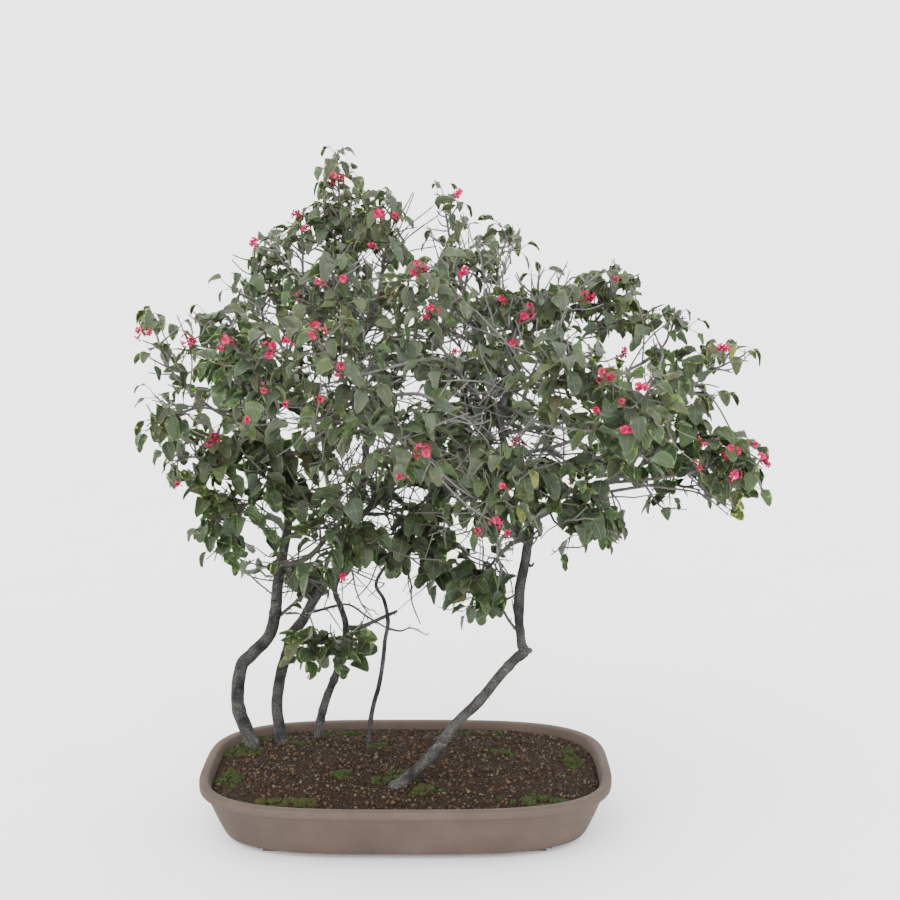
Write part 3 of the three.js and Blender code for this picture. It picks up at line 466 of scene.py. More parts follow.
def linked(name, data):
    """A new object in the scene."""
    made = bpy.data.objects.new(name, data)
    bpy.context.scene.collection.objects.link(made)
    return made


def finish_piece(piece, materials, replaces=()):
    for material in materials:
        piece.data.materials.append(material)
    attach(piece, "root")
    if replaces:
        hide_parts(*replaces)


def grid(rows, columns):
    """Quads between rings of points."""
    row, column = np.meshgrid(np.arange(rows - 1), np.arange(columns), indexing="ij")
    here, beside = row * columns + column, row * columns + (column + 1) % columns
    return np.stack([here, beside, beside + columns, here + columns], -1).reshape(-1, 4)


def end_fans(rows, columns):
    """Triangles that close rings of points with the two points that follow them."""
    last, count = (rows - 1) * columns, rows * columns
    pairs = [(k, (k + 1) % columns) for k in range(columns)]
    return [[b, a, count] for a, b in pairs] + [[last + a, last + b, count + 1] for a, b in pairs]


def smooth(lengths, turns):
    """The relief of a plain rod."""
    return np.ones((len(lengths), len(turns)))


def tube(skin, points, radii, sides, kind=0, tint=(0, 0, 0), relief=smooth):
    """A round rod along the points, with closed ends. Relief gives the radius a factor at each
    point of the surface, from the length along it and the turn about it."""
    points = np.asarray(points, float)
    radii = np.interp(np.linspace(0, 1, len(points)), np.linspace(0, 1, len(radii)), radii)
    ways = rows_of(np.gradient(points, axis=0))
    across = around(ways[0], 0)
    spokes = []
    for way in ways:
        across = unit(across - way * np.dot(across, way))
        spokes.append((across, np.cross(way, across)))
    spokes = np.array(spokes)
    turns = np.linspace(0, FULL_TURN, sides, endpoint=False)
    scale = relief(lengths_along(points), turns)
    first = np.cos(turns)[None, :, None] * spokes[:, None, 0]
    second = np.sin(turns)[None, :, None] * spokes[:, None, 1]
    rings = points[:, None] + (first + second) * (radii[:, None] * scale)[:, :, None]
    ends = [points[0] - ways[0] * radii[0] * 0.3, points[-1] + ways[-1] * radii[-1] * 0.5]
    every = np.vstack([rings.reshape(-1, 3), ends])
    skin.add(every, grid(len(points), sides), end_fans(len(points), sides), (kind, kind), tint=tint)


# A blade has rows of points from its foot to its tip: five across above, and one under the middle.
ACROSS = np.array([-1, -0.5, 0, 0.5, 1])


def blade_faces(rows):
    """The quads and triangles of a blade, those of its upper side first."""
    tip = rows * 5

    def top(row, column):
        return row * 5 + column

    def under(row, column):
        return tip + 1 + row if column == 2 else top(row, column)

    quads, triangles = [], []
    for layer, columns in ((top, (0, 1, 2, 3, 4)), (under, (0, 2, 4))):
        for left, right in zip(columns, columns[1:]):
            for row in range(rows - 1):
                quad = [layer(row, left), layer(row, right), layer(row + 1, right), layer(row + 1, left)]
                quads.append(quad if layer is top else quad[::-1])
            end = [layer(rows - 1, left), layer(rows - 1, right), tip]
            triangles.append(end if layer is top else end[::-1])
    quads += [[0, under(0, 2), 2, 1], [under(0, 2), 4, 3, 2]]
    return np.array(quads), np.array(triangles)


def add_copies(skin, points, quads, triangles, kinds, tints, uv=None, rim=None):
    """Shapes with the same faces. Points holds the points of each."""
    count, each = points.shape[:2]
    shift = (np.arange(count) * each)[:, None, None]
    faces = [(np.asarray(one)[None] + shift).reshape(-1, len(one[0])) for one in (quads, triangles)]
    kinds = [np.tile(np.broadcast_to(kind, len(one)), count) for kind, one in zip(kinds, (quads, triangles))]
    skin.add(
        points, *faces, kinds,
        uv=None if uv is None else np.tile(uv, (count, 1)),
        tint=np.repeat(tints, each, axis=0),
        rim=None if rim is None else np.tile(rim, count),
    )


def add_blades(skin, middle, side, normal, half, lift, thickness, kinds, tints):
    """Closed blades. Middle, side and normal hold a vector for each blade and row, half the half
    width, and lift how far each point of the row stands above its middle. The last row is the tip."""
    count, rows = half.shape[0], half.shape[1] - 1
    spread = ACROSS[None, None, :, None] * half[:, :-1, None, None] * side[:, :-1, None]
    flat = middle[:, :-1, None] + spread + lift[:, :-1, :, None] * normal[:, :-1, None]
    body = thickness * (1 - ACROSS**2)[None, None, :, None] * normal[:, :-1, None]
    top, under = (flat + body).reshape(count, -1, 3), (flat - body)[:, :, 2]
    points = np.concatenate([top, middle[:, -1:], under], axis=1)
    shares = np.linspace(0, 1, rows + 1)
    wide = np.stack(np.broadcast_arrays((ACROSS / 2 + 0.5)[None], shares[:-1, None]), -1)
    uv = np.vstack([wide.reshape(-1, 2), [[0.5, 1]], wide[:, 2]])
    rim = np.zeros(points.shape[1], bool)
    rim[[row * 5 + column for row in range(rows) for column in (0, 4)] + [rows * 5]] = True
    quads, triangles = blade_faces(rows)
    quad_kinds = np.where(np.arange(len(quads)) < (rows - 1) * 4, *kinds)
    triangle_kinds = np.where(np.arange(len(triangles)) < 4, *kinds)
    add_copies(skin, points, quads, triangles, (quad_kinds, triangle_kinds), tints, uv, rim)


def rows_of(vectors):
    return vectors / np.linalg.norm(vectors, axis=-1, keepdims=True)


def dot(first, second):
    return (first * second).sum(-1, keepdims=True)


def turned_rows(vectors, axes, angles):
    cosine, sine = np.cos(angles)[..., None], np.sin(angles)[..., None]
    return vectors * cosine + np.cross(axes, vectors) * sine + axes * dot(axes, vectors) * (1 - cosine)


def hill(places, middle, width):
    return np.exp(-(((places - middle) / width) ** 2))


# Share of the length and of the half width, from the foot to the pointed tip.
LEAF_OUTLINE = np.array([
    (0.0, 0.1), (0.07, 0.57), (0.2, 0.94), (0.38, 1.0), (0.58, 0.86), (0.78, 0.53), (0.92, 0.2), (1.0, 0.0),
])
PETIOLE_SIDES = 3

# The leaves are painted paler inside the crown, as painted light against the shade there.
CROWN_CENTRE, CROWN_RADII = np.array([30, 50, 870]), np.array([420, 400, 360])
# How much painted shade darkens the leaves low in the plant, by their height.
SHADE_HEIGHTS, PAINTED_SHADES = (400, 470, 625, 775, 1150), (0.25, 0.75, 0.7, 0.3, 0)
LEAF_KINDS = (0, 1)
PETIOLE_KIND = 2


def grow_leaves(skin, leaves, rng):
    """Blades that fold along their rib, twist and wave, and their stalks."""
    count = len(leaves)
    root, out, petiole, length, hang, turn = map(np.array, zip(*map(astuple, leaves)))
    shares, halves = LEAF_OUTLINE.T

    def heading(share):
        drop = (hang * share)[:, None]
        return rows_of(out * (1 - drop) - UP * drop)

    steps = [heading(0.66 + 0.58 * (a + b) / 2) * (b - a) for a, b in zip(shares, shares[1:])]
    middle = np.concatenate([np.zeros((1, count, 3)), np.cumsum(steps, axis=0)]).transpose(1, 0, 2)
    middle = (root + out * petiole[:, None])[:, None] + middle * length[:, None, None]
    ways = np.stack([heading(0.66 + 0.58 * share) for share in shares], axis=1)
    centre_way = heading(0.9)
    side = turned_rows(rows_of(np.cross(out, UP)), centre_way, turn)
    side = np.where(np.cross(centre_way, side)[:, 2:] > 0, -side, side)
    side = rows_of(side[:, None] - ways * dot(side[:, None], ways))
    twist = rng.uniform(-0.6, 0.6, count)[:, None] * (shares - 0.3)
    side = turned_rows(side, ways, twist)
    low = np.clip((1150 - root[:, 2]) / 700, 0, 1)
    broad = rng.uniform(0.84, 1.1, count) * (1 + 0.36 * low)
    lobed = np.clip(rng.uniform(-0.9, 1, count), 0, 1)[:, None]
    lobes = 0.34 * hill(shares, 0.2, 0.1) - 0.26 * hill(shares, 0.52, 0.13)
    blunt = (rng.uniform(0.1, 1, count) * (0.45 + 0.55 * low))[:, None]
    end = 0.34 * hill(shares, 0.89, 0.13) * (shares < 1)
    half = (length * broad)[:, None] * LEAF["shape"] / 2 * (halves * (1 + lobed * lobes) + blunt * end)
    fold = rng.uniform(0.1, 0.55, count)[:, None, None]
    phase = rng.uniform(0, FULL_TURN, count)[:, None, None]
    swell = rng.uniform(0.04, 0.16, count)[:, None, None]
    wave = swell * np.sin(phase + 13 * shares[None, :, None] + 1.3 * np.sign(ACROSS)) * np.abs(ACROSS)
    lift = (np.sin(fold) * np.abs(ACROSS) ** 0.85 + wave) * half[:, :, None]
    depth = 1 - np.linalg.norm((root - CROWN_CENTRE) / CROWN_RADII, axis=1)
    # Painted light: the deeper a leaf stands in the crown, the higher its first tint, which paints it paler
    # against the shade there.
    chance_and_inner_light = np.clip(0.72 * rng.uniform(0, 1, count) + 1.1 * np.clip(depth, 0, 0.6), 0, 1)
    age = np.clip((rng.uniform(0, 1, count) - 0.976) * 40, 0, 1)
    tints = np.column_stack([chance_and_inner_light, age, np.interp(root[:, 2], SHADE_HEIGHTS, PAINTED_SHADES)])
    wide = half * np.cos(fold[:, :, 0])
    add_blades(skin, middle, side, np.cross(side, ways), wide, lift, LEAF["thick"], LEAF_KINDS, tints)
    add_petioles(skin, root, out, petiole, tints, rng)


def add_petioles(skin, root, out, petiole, tints, rng):
    """The thin curved stalks of leaves, from just inside the twig to just inside the blade."""
    count = len(root)
    shares = np.array([-0.12, 0.45, 1.03])
    line = root[:, None] + out[:, None] * (shares[:, None] * petiole[:, None, None])
    arch = (shares * (1 - shares))[None, :, None] * petiole[:, None, None]
    line = line + UP * arch * rng.uniform(-0.1, 0.5, count)[:, None, None]
    level = rows_of(np.cross(out, UP))
    third = np.cross(out, level)
    turns = np.linspace(0, FULL_TURN, PETIOLE_SIDES, endpoint=False)
    ring = level[:, None] * np.cos(turns)[:, None] + third[:, None] * np.sin(turns)[:, None]
    radii = np.array([1.3, 0.95, 0.8])[None, :, None, None]
    points = (line[:, :, None] + ring[:, None] * radii).reshape(count, -1, 3)
    ends = [[0, 2, 1], [6, 7, 8]]
    add_copies(skin, points, grid(3, PETIOLE_SIDES), ends, (PETIOLE_KIND, PETIOLE_KIND), tints)


# The turns and sizes that a packed leaf takes in turn until it stands clear.
SWINGS = (0, 0.4, -0.4, 0.8, -0.8, 1.3, -1.3)
SHRINKS = (1, 0.82)
# The turns of a packed leaf's three parts as it bends down, and each part's share of its length.
LEAF_BENDS = ((0.75, 0.35), (1, 0.38), (1.15, 0.27))
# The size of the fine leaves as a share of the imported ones, low in the plant and above, how much
# less it is at the top, and how much less where a leaf is in the way. Low leaves hang less.
FINE_LEAF = {"low": 0.74, "high": 0.84, "top": 0.14, "in_the_way": 0.8, "low_hang": 0.45}
SKIRT_TOP = 470
# How far a leaf's tip may stand out of the box of the solids, in metres.
BOX_SPARE = 0.012


def highness(z):
    """From 0 low in the plant to 1 near its top, where the leaves are smaller and narrower."""
    return np.clip((z - 850) / 400, 0, 1)


def node_tree(name):
    """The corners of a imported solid, to find in it."""
    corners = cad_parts[name].data.vertices
    tree = kdtree.KDTree(len(corners))
    for number, corner in enumerate(corners):
        tree.insert(corner.co, number)
    tree.balance()
    return tree


def is_corner(tree, point):
    return tree.find(Vector(point * MM))[2] < 0.2 * MM


def tip_of(leaf, rise, length):
    def heading(share):
        return unit(rise * (1 - leaf.hang * share) - UP * leaf.hang * share)

    base = leaf.root + rise * leaf.petiole
    return base + length * sum(heading(bend) * share for bend, share in LEAF_BENDS)


def as_built(leaf, tree):
    """The leaf with the turn and the size that its solid took to stand clear, or None."""
    low = leaf.root[2] < SKIRT_TOP
    for shrink in SHRINKS:
        for swing in SWINGS:
            rise = turned(leaf.rise, UP, swing)
            length = leaf.length * shrink
            if is_corner(tree, tip_of(leaf, rise, length)):
                high_size = FINE_LEAF["high"] - FINE_LEAF["top"] * highness(leaf.root[2])
                fine = length * (FINE_LEAF["low"] if low else high_size)
                hang = leaf.hang * (FINE_LEAF["low_hang"] if low else 1)
                found = Leaf(leaf.root, rise, leaf.petiole, fine, hang, leaf.turn)
                if not stands_free(found):
                    found.length *= FINE_LEAF["in_the_way"]
                return found
    return None


def inside(place, edge):
    """Whether a place in the view is inside a closed line."""
    across, up = place
    odd = False
    for (x, y), (next_x, next_y) in zip(edge, edge[1:] + edge[:1]):
        if (y > up) != (next_y > up) and across < x + (up - y) / (next_y - y) * (next_x - x):
            odd = not odd
    return odd


def distance_in(place, oval):
    """How far a place in the view is from the middle of an oval: 1 at its edge, squared."""
    middle, height, half_width, half_height = oval
    return ((place[0] - middle) / half_width) ** 2 + ((place[1] - height) / half_height) ** 2


def outside_box(point, spare=0.0):
    low, high = np.array(cad_box)
    return (point * MM < low - spare).any() or (point * MM > high + spare).any()


def stands_free(leaf):
    """Whether a leaf stays inside the box of the solids and out of the openings in the crown."""
    tip = tip_of(leaf, leaf.rise, leaf.length)
    if outside_box(tip, BOX_SPARE):
        return False
    for share in (0, 0.5, 1):
        place = in_view(leaf.root + leaf.rise * leaf.petiole * (1 - share) + (tip - leaf.root) * share)
        if not inside(place, CROWN_EDGE) and not inside(place, LOW_EDGE):
            return False
        if any(distance_in(place, oval) < 1 for oval in OPENINGS):
            return False
    return True


# The line that the crown keeps within in the view, and those of the leaves and bare twigs below it.
CROWN_EDGE = [
    (-264, 564), (-244, 614), (-196, 608), (-168, 540), (-100, 536), (-92, 456), (-64, 490), (-36, 544),
    (24, 540), (40, 470), (84, 460), (144, 452), (152, 400), (128, 372), (116, 320), (164, 308), (224, 328),
    (270, 352), (330, 368), (392, 360), (404, 304), (444, 300), (480, 264), (476, 220), (510, 200),
    (544, 226), (620, 204), (608, 172), (548, 160), (512, 128), (524, 84), (570, 52), (624, 24), (624, -90),
    (604, -144), (576, -152), (544, -104), (424, -96), (410, -136), (344, -116), (352, -134), (350, -188),
    (284, -212), (256, -180), (212, -164), (180, -180), (140, -196), (118, -236), (108, -368), (84, -372),
    (52, -332), (-20, -332), (-40, -296), (-76, -284), (-116, -272), (-148, -240), (-196, -256),
    (-220, -304), (-300, -314), (-328, -284), (-364, -264), (-400, -276), (-440, -254), (-448, -220),
    (-516, -192), (-526, -100), (-576, -72), (-584, 4), (-604, 56), (-580, 90), (-548, 112), (-576, 156),
    (-624, 216), (-626, 304), (-596, 304), (-560, 200), (-516, 208), (-504, 276), (-430, 292), (-400, 376),
    (-392, 440), (-324, 480), (-268, 492),
]
LOW_EDGE = [
    (-340, -372), (-250, -364), (-215, -372), (-200, -352), (-150, -352), (-136, -400), (-150, -450),
    (-200, -470), (-290, -474), (-345, -440),
]
LOW_TWIGS_EDGE = [(-350, -200), (-60, -200), (-50, -350), (-150, -400), (-260, -400), (-340, -340)]

# Where the sky shows through the crown in the view: middle, height, half width and half height.
OPENINGS = [
    (-46, 430, 52, 44), (-74, 510, 42, 50), (128, 360, 30, 38), (-144, 534, 20, 16), (-296, 374, 34, 14),
    (398, 294, 18, 14), (396, 210, 16, 16), (-404, -162, 20, 22), (28, -166, 20, 16), (382, -96, 20, 20),
    (-158, 376, 26, 10), (-300, -30, 12, 16), (-12, 196, 14, 10), (-78, 132, 22, 14), (20, 214, 28, 14),
    (-150, 226, 22, 12), (166, 158, 16, 16), (-222, 130, 20, 12), (130, 22, 50, 22), (-200, -30, 20, 16),
    (-122, 14, 12, 22), (-134, -138, 28, 14), (-80, -92, 36, 14), (32, -172, 22, 26), (46, 40, 10, 8),
    (334, 196, 26, 24), (-305, -226, 16, 12), (-280, -208, 14, 12), (-255, -182, 14, 12),
    (-228, -155, 14, 12), (380, -30, 10, 16), (-430, 330, 18, 16), (24, 328, 20, 18), (30, 420, 14, 16),
    (256, 224, 30, 14), (424, 226, 18, 16), (376, 176, 18, 14), (376, 126, 18, 16), (-530, 172, 14, 12),
    (-530, 70, 14, 12), (-530, -22, 24, 20), (476, -70, 16, 12), (578, 172, 14, 14), (-4, -224, 20, 14),
    (72, -220, 20, 16), (324, -76, 18, 16), (-326, 26, 16, 16), (-76, -224, 18, 16), (124, -272, 18, 20),
    (-478, 76, 14, 14),
]

# Leafy shoots on the wood inside the crown: middle and half size in the view, and how many.
INNER_SHOOTS = {
    "left": (-350, 10, 110, 70, 12), "left_low": (-330, -80, 90, 40, 8),
    "left_middle": (-250, 40, 60, 70, 9), "middle": (-90, 120, 80, 60, 8),
    "right_high": (50, 110, 80, 90, 13), "right": (190, 30, 110, 70, 16),
    "right_low": (210, -60, 70, 50, 6), "far_right": (370, 20, 80, 50, 8), "foot": (-310, -262, 50, 30, 7),
    "middle_low": (-175, -90, 80, 40, 8), "core": (50, -10, 60, 50, 9),
    "far_right_low": (470, 30, 34, 36, 5), "left_foot": (-440, -210, 34, 30, 3),
    "upper_left": (-130, 284, 50, 40, 5), "upper_right": (100, 260, 56, 40, 6),
    "crest": (226, 332, 34, 24, 8), "low_middle": (-60, -128, 44, 30, 7),
    "behind_stem": (124, -170, 34, 30, 3), "right_foot": (290, -24, 56, 34, 5),
    "skirt_right": (-178, -385, 36, 36, 6), "second_peak": (-14, 512, 28, 28, 9),
    "peak_side": (-190, 510, 24, 40, 3), "crest_left": (76, 424, 30, 26, 3),
    "valley": (-76, 376, 36, 24, 3), "heart": (20, 72, 40, 30, 5), "heart_low": (0, 26, 44, 26, 5),
    "arm": (-30, 172, 40, 18, 5), "far_right_middle": (424, 0, 34, 44, 6),
    "right_tip": (318, -174, 26, 26, 5), "low_tip": (-30, -276, 26, 24, 3),
    "arm_left": (-126, 176, 26, 24, 4), "left_gap": (-276, -24, 26, 24, 5),
    "peak_foot": (-174, 424, 24, 24, 4), "peak_middle": (-176, 524, 22, 30, 3),
    "left_top": (-376, 426, 20, 16, 3), "upper_middle": (50, 276, 40, 24, 5), "hook": (424, 276, 24, 20, 3),
    "left_end": (-606, 270, 14, 24, 2), "left_heart": (-400, 24, 40, 22, 5),
    "low_gap": (-126, -226, 22, 20, 3), "trunk_side": (100, -318, 14, 30, 5),
    "right_shoulder": (224, 276, 22, 24, 4), "trunk_top": (124, 176, 24, 22, 3),
    "left_core": (-326, 126, 22, 22, 4), "right_heart": (474, -24, 22, 20, 3),
    "left_under": (-326, -74, 22, 20, 3), "right_end": (574, -124, 18, 18, 5),
    "left_foot_gap": (-326, -274, 22, 22, 4), "peak_tip": (-226, 578, 22, 24, 6),
    "crest_gap": (-26, 326, 20, 20, 3), "hook_left": (372, 330, 20, 18, 3),
}
LEAVES_A_SHOOT = 6
# How near the wood that they start from is, squared, or else how many starts there are; how far
# their aims spread in depth; and their least and greatest length.
INNER = {"near": 2.2, "starts": 10, "depth": 240, "lengths": (50, 150)}


def inner_shoots(region, draw):
    """Shoots from the wood in and near a part of the view, towards places inside that part."""
    middle, height, half_width, half_height, count = region
    starts = []
    for carrier in wood.values():
        route = Route(carrier.controls)
        for share in np.linspace(0.1, 1, 40):
            start = route.at(share)
            starts.append((distance_in(in_view(start), region[:4]), start, route.way(share)))
    starts.sort(key=lambda start: start[0])
    near, least = INNER["near"], INNER["starts"]
    starts = [start[1:] for number, start in enumerate(starts) if start[0] < near or number < least]
    shoots = []
    for _ in range(count):
        start, along = starts[int(draw() * len(starts))]
        depth = np.dot(start - VIEW_CENTRE, SIGHT_AHEAD) + INNER["depth"] * (draw() - 0.5)
        aim = seen((middle + half_width * (2 * draw() - 1), height + half_height * (2 * draw() - 1), depth))
        way = unit(unit(aim - start) + around(along, FULL_TURN * draw()) * 0.3 + UP * 0.15)
        length = np.clip(np.linalg.norm(aim - start), *INNER["lengths"])
        shoots.append(leafy_shoot(start, way, length, draw))
    return shoots


def leafy_shoot(start, way, length, draw):
    """A shoot with leaves that spiral up it, closer together towards its tip."""
    aside = around(way, FULL_TURN * draw()) * length * 0.1
    middle = start + way * length * 0.5 + aside
    end = start + way * length + UP * length * 0.1 * (draw() - 0.3)
    spine = Route([start, middle, end])
    phase = FULL_TURN * draw()
    leaves = []
    for number in range(LEAVES_A_SHOOT):
        share = 0.25 + 0.7 * (number / (LEAVES_A_SHOOT - 1)) ** 0.8
        along = spine.way(share)
        outward = around(along, phase + number * GOLDEN_ANGLE) + along * 0.35
        leaves.append(plan_leaf(spine.at(share), outward, draw))
    leaves.append(plan_leaf(spine.at(1), spine.way(1), draw))
    for leaf in leaves:
        leaf.length *= (0.6 + 0.34 * draw()) * (1 - 0.16 * highness(leaf.root[2]))
        leaf.petiole *= 0.7
        leaf.hang *= FINE_LEAF["low_hang"] if leaf.root[2] < SKIRT_TOP else 0.4 + 0.7 * draw()
        leaf.turn *= 1.5
    return Twig(spine, (1.9, 1.2), [leaf for leaf in leaves if stands_free(leaf)])


def filling_shoots(name, draw):
    """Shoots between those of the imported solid, all round the main twig and the end of its limb."""
    spray, main, limb = SPRAYS[name], plans[name][0], Route(wood[name].controls)
    shoots = []
    for number in range(spray.shoots):
        share = (number + 0.6) / spray.shoots * 1.12 - 0.12
        curve, place = (main.spine, share) if share >= 0 else (limb, 1 + share)
        along = curve.way(place)
        outward = around(along, number * GOLDEN_ANGLE + 0.6 * draw())
        lean = 0.25 + 0.6 * draw()
        way = unit(outward + along * lean + UP * 0.25 * draw())
        length = spray.reach * (0.45 + 0.45 * draw()) * (1.05 - 0.35 * max(share, 0))
        shoots.append(leafy_shoot(curve.at(place), way, length, draw))
    return shoots


MOST_BENDS = 14


def wander(start, way, length, step, draw):
    """A bare twig that bends a little at each of its old leaf scars, and its side twigs."""
    points, side_twigs = [start], []
    while np.linalg.norm(points[-1] - start) < length and len(points) < MOST_BENDS:
        bent = around(way, FULL_TURN * draw()) * 0.34 * draw()
        way = unit(way + bent + UP * 0.03)
        ahead = points[-1] + way * step * (0.7 + 0.6 * draw())
        place = in_view(ahead)
        if outside_box(ahead) or not (inside(place, CROWN_EDGE) or inside(place, LOW_TWIGS_EDGE)):
            break
        points.append(ahead)
        if len(points) > 2 and draw() < 0.3:
            side_twigs.append((ahead, unit(around(way, FULL_TURN * draw()) + way * 0.8)))
    return points, side_twigs


# Ridges, lumps and grain on bark: how fine round it, how long along it, their place in the noise
# and their weight.
BARK_BUMPS = ((3.2, 38, 1, 1), (1.1, 26, 7, 0.9), (5, 9, 3, 0.8))


def bark_relief(seed, depth=0.07):
    """The roughness of bark, from the length along it and the turn about it."""

    def relief(lengths, turns):
        scale = np.zeros((len(lengths), len(turns)))
        for i, length in enumerate(lengths):
            for j, turn in enumerate(turns):
                x, y = math.cos(turn), math.sin(turn)
                bumps = 0
                for fine, long, place, weight in BARK_BUMPS:
                    bumps += weight * noise.noise((fine * x, fine * y, length / long + place * seed))
                scale[i, j] = 1 + depth * bumps
        return scale

    return relief


def with_swellings(relief, places, height, width):
    """The relief with rings that swell at the given lengths, as at a scar or under a limb."""

    def swollen(lengths, turns):
        rise = sum((hill(lengths, place, width) for place in places), np.zeros(len(lengths)))
        return relief(lengths, turns) * (1 + height * rise)[:, None]

    return swollen


BRIGHT_STUDIO = 0.42


def srgb(red, green, blue):
    """A colour given from 0 to 255 as it looks under the bright studio light, in linear light."""
    light = (((c / 255 + 0.055) / 1.055) ** 2.4 if c > 10 else c / 3295 for c in (red, green, blue))
    return tuple(BRIGHT_STUDIO * c for c in light) + (1,)


class Look:
    """A material, with short ways to make its nodes. An input may be a number, a colour or the
    output of another node. A colour is three numbers from 0 to 255, or four of linear light."""

    def __init__(self, name, roughness, specular=0.5):
        self.material = bpy.data.materials.new(name)
        self.material.use_nodes = True
        self.nodes, self.links = self.material.node_tree.nodes, self.material.node_tree.links
        self.shader = self.nodes["Principled BSDF"]
        self.shader.inputs["Roughness"].default_value = roughness
        self.shader.inputs["Specular IOR Level"].default_value = specular
        self.place = self.nodes.new("ShaderNodeTexCoord").outputs["Object"]

    def put(self, socket, value):
        if isinstance(value, bpy.types.NodeSocket):
            self.links.new(value, socket)
        else:
            socket.default_value = srgb(*value) if socket.type == "RGBA" and len(value) == 3 else value

    def node(self, kind, inputs, output=0, **settings):
        made = self.nodes.new(f"ShaderNode{kind}")
        for key, value in settings.items():
            setattr(made, key, value)
        for key, value in inputs.items():
            self.put(made.inputs[key], value)
        return made.outputs[output]

    def noise(self, scale, detail=3, stretch=None):
        place = self.node("Mapping", {"Scale": stretch, "Vector": self.place}) if stretch else self.place
        return self.node("TexNoise", {"Scale": scale, "Detail": detail, "Vector": place}, "Fac")

    def cells(self, scale, feature="F1"):
        return self.node("TexVoronoi", {"Scale": scale, "Vector": self.place}, "Distance", feature=feature)

    def math(self, operation, first, second=0.0):
        return self.node("Math", {0: first, 1: second}, operation=operation)

    def times(self, first, second):
        return self.math("MULTIPLY", first, second)

    def less(self, first, second):
        return self.math("SUBTRACT", first, second)

    def step(self, value, low, high):
        """A smooth rise from 0 at low to 1 at high."""
        inputs = {"Value": value, "From Min": low, "From Max": high}
        return self.node("MapRange", inputs, interpolation_type="SMOOTHSTEP")

    def over(self, under, colour, amount, share=None):
        """A colour with some of another over it."""
        amount = amount if share is None else self.times(amount, share)
        return self.node("Mix", {0: amount, 6: under, 7: colour}, 2, data_type="RGBA")

    def ramp(self, factor, *stops):
        output = self.node("ValToRGB", {0: factor})
        elements = output.node.color_ramp.elements
        while len(elements) < len(stops):
            elements.new(0.5)
        for element, (position, colour) in zip(elements, stops):
            element.position = position
            element.color = srgb(*colour) if len(colour) == 3 else colour
        return output

    def tint(self):
        """The piece's own red, green and blue tint, which say how each leaf or grain differs: by random
        draws, and on leaves also by painted light inside the crown and painted shade low in the plant.
        """
        tint = self.node("Attribute", {}, "Color", attribute_name="tint")
        return self.node("SeparateColor", {0: tint}).node.outputs

    def height(self):
        """How high a point is above the ground, in metres."""
        return self.node("SeparateXYZ", {0: self.place}, 2)

    def across_and_along(self):
        return self.node("SeparateXYZ", {0: self.node("UVMap", {}, uv_map="UVMap")}).node.outputs[:2]

    def finish(self, colour, height, depth):
        """The material with its colour, and a bump of so many millimetres."""
        self.put(self.shader.inputs["Base Color"], colour)
        bump = self.node("Bump", {"Strength": 1.0, "Distance": depth * MM, "Height": height})
        self.links.new(bump, self.shader.inputs["Normal"])
        return self.material


def bark_look(name, pale, dark, cracks, patch):
    look = Look(name, 0.92, 0.2)
    patches = look.noise(patch, 4)
    fine = look.noise(420, 6)
    fissures = look.step(look.cells(cracks, "DISTANCE_TO_EDGE"), 0.0, 0.16)
    colour = look.ramp(patches, (0.34, dark), (0.52, pale), (0.72, (128, 128, 124)))
    colour = look.over(colour, (52, 51, 50), fine, 0.75)
    colour = look.over(colour, (36, 35, 34), look.less(1, fissures), 0.6)
    colour = look.over(colour, (150, 149, 142), look.step(look.noise(55, 5), 0.6, 0.72), 0.35)
    # Painted light: bark from 0.55 m to 0.85 m up is painted paler, against the shade that the crown casts on
    # it.
    colour = look.over(colour, (172, 169, 164), look.step(look.height(), 0.55, 0.85), 0.65)
    return look.finish(colour, look.math("ADD", look.times(fine, 0.6), look.times(fissures, 0.5)), 1.6)


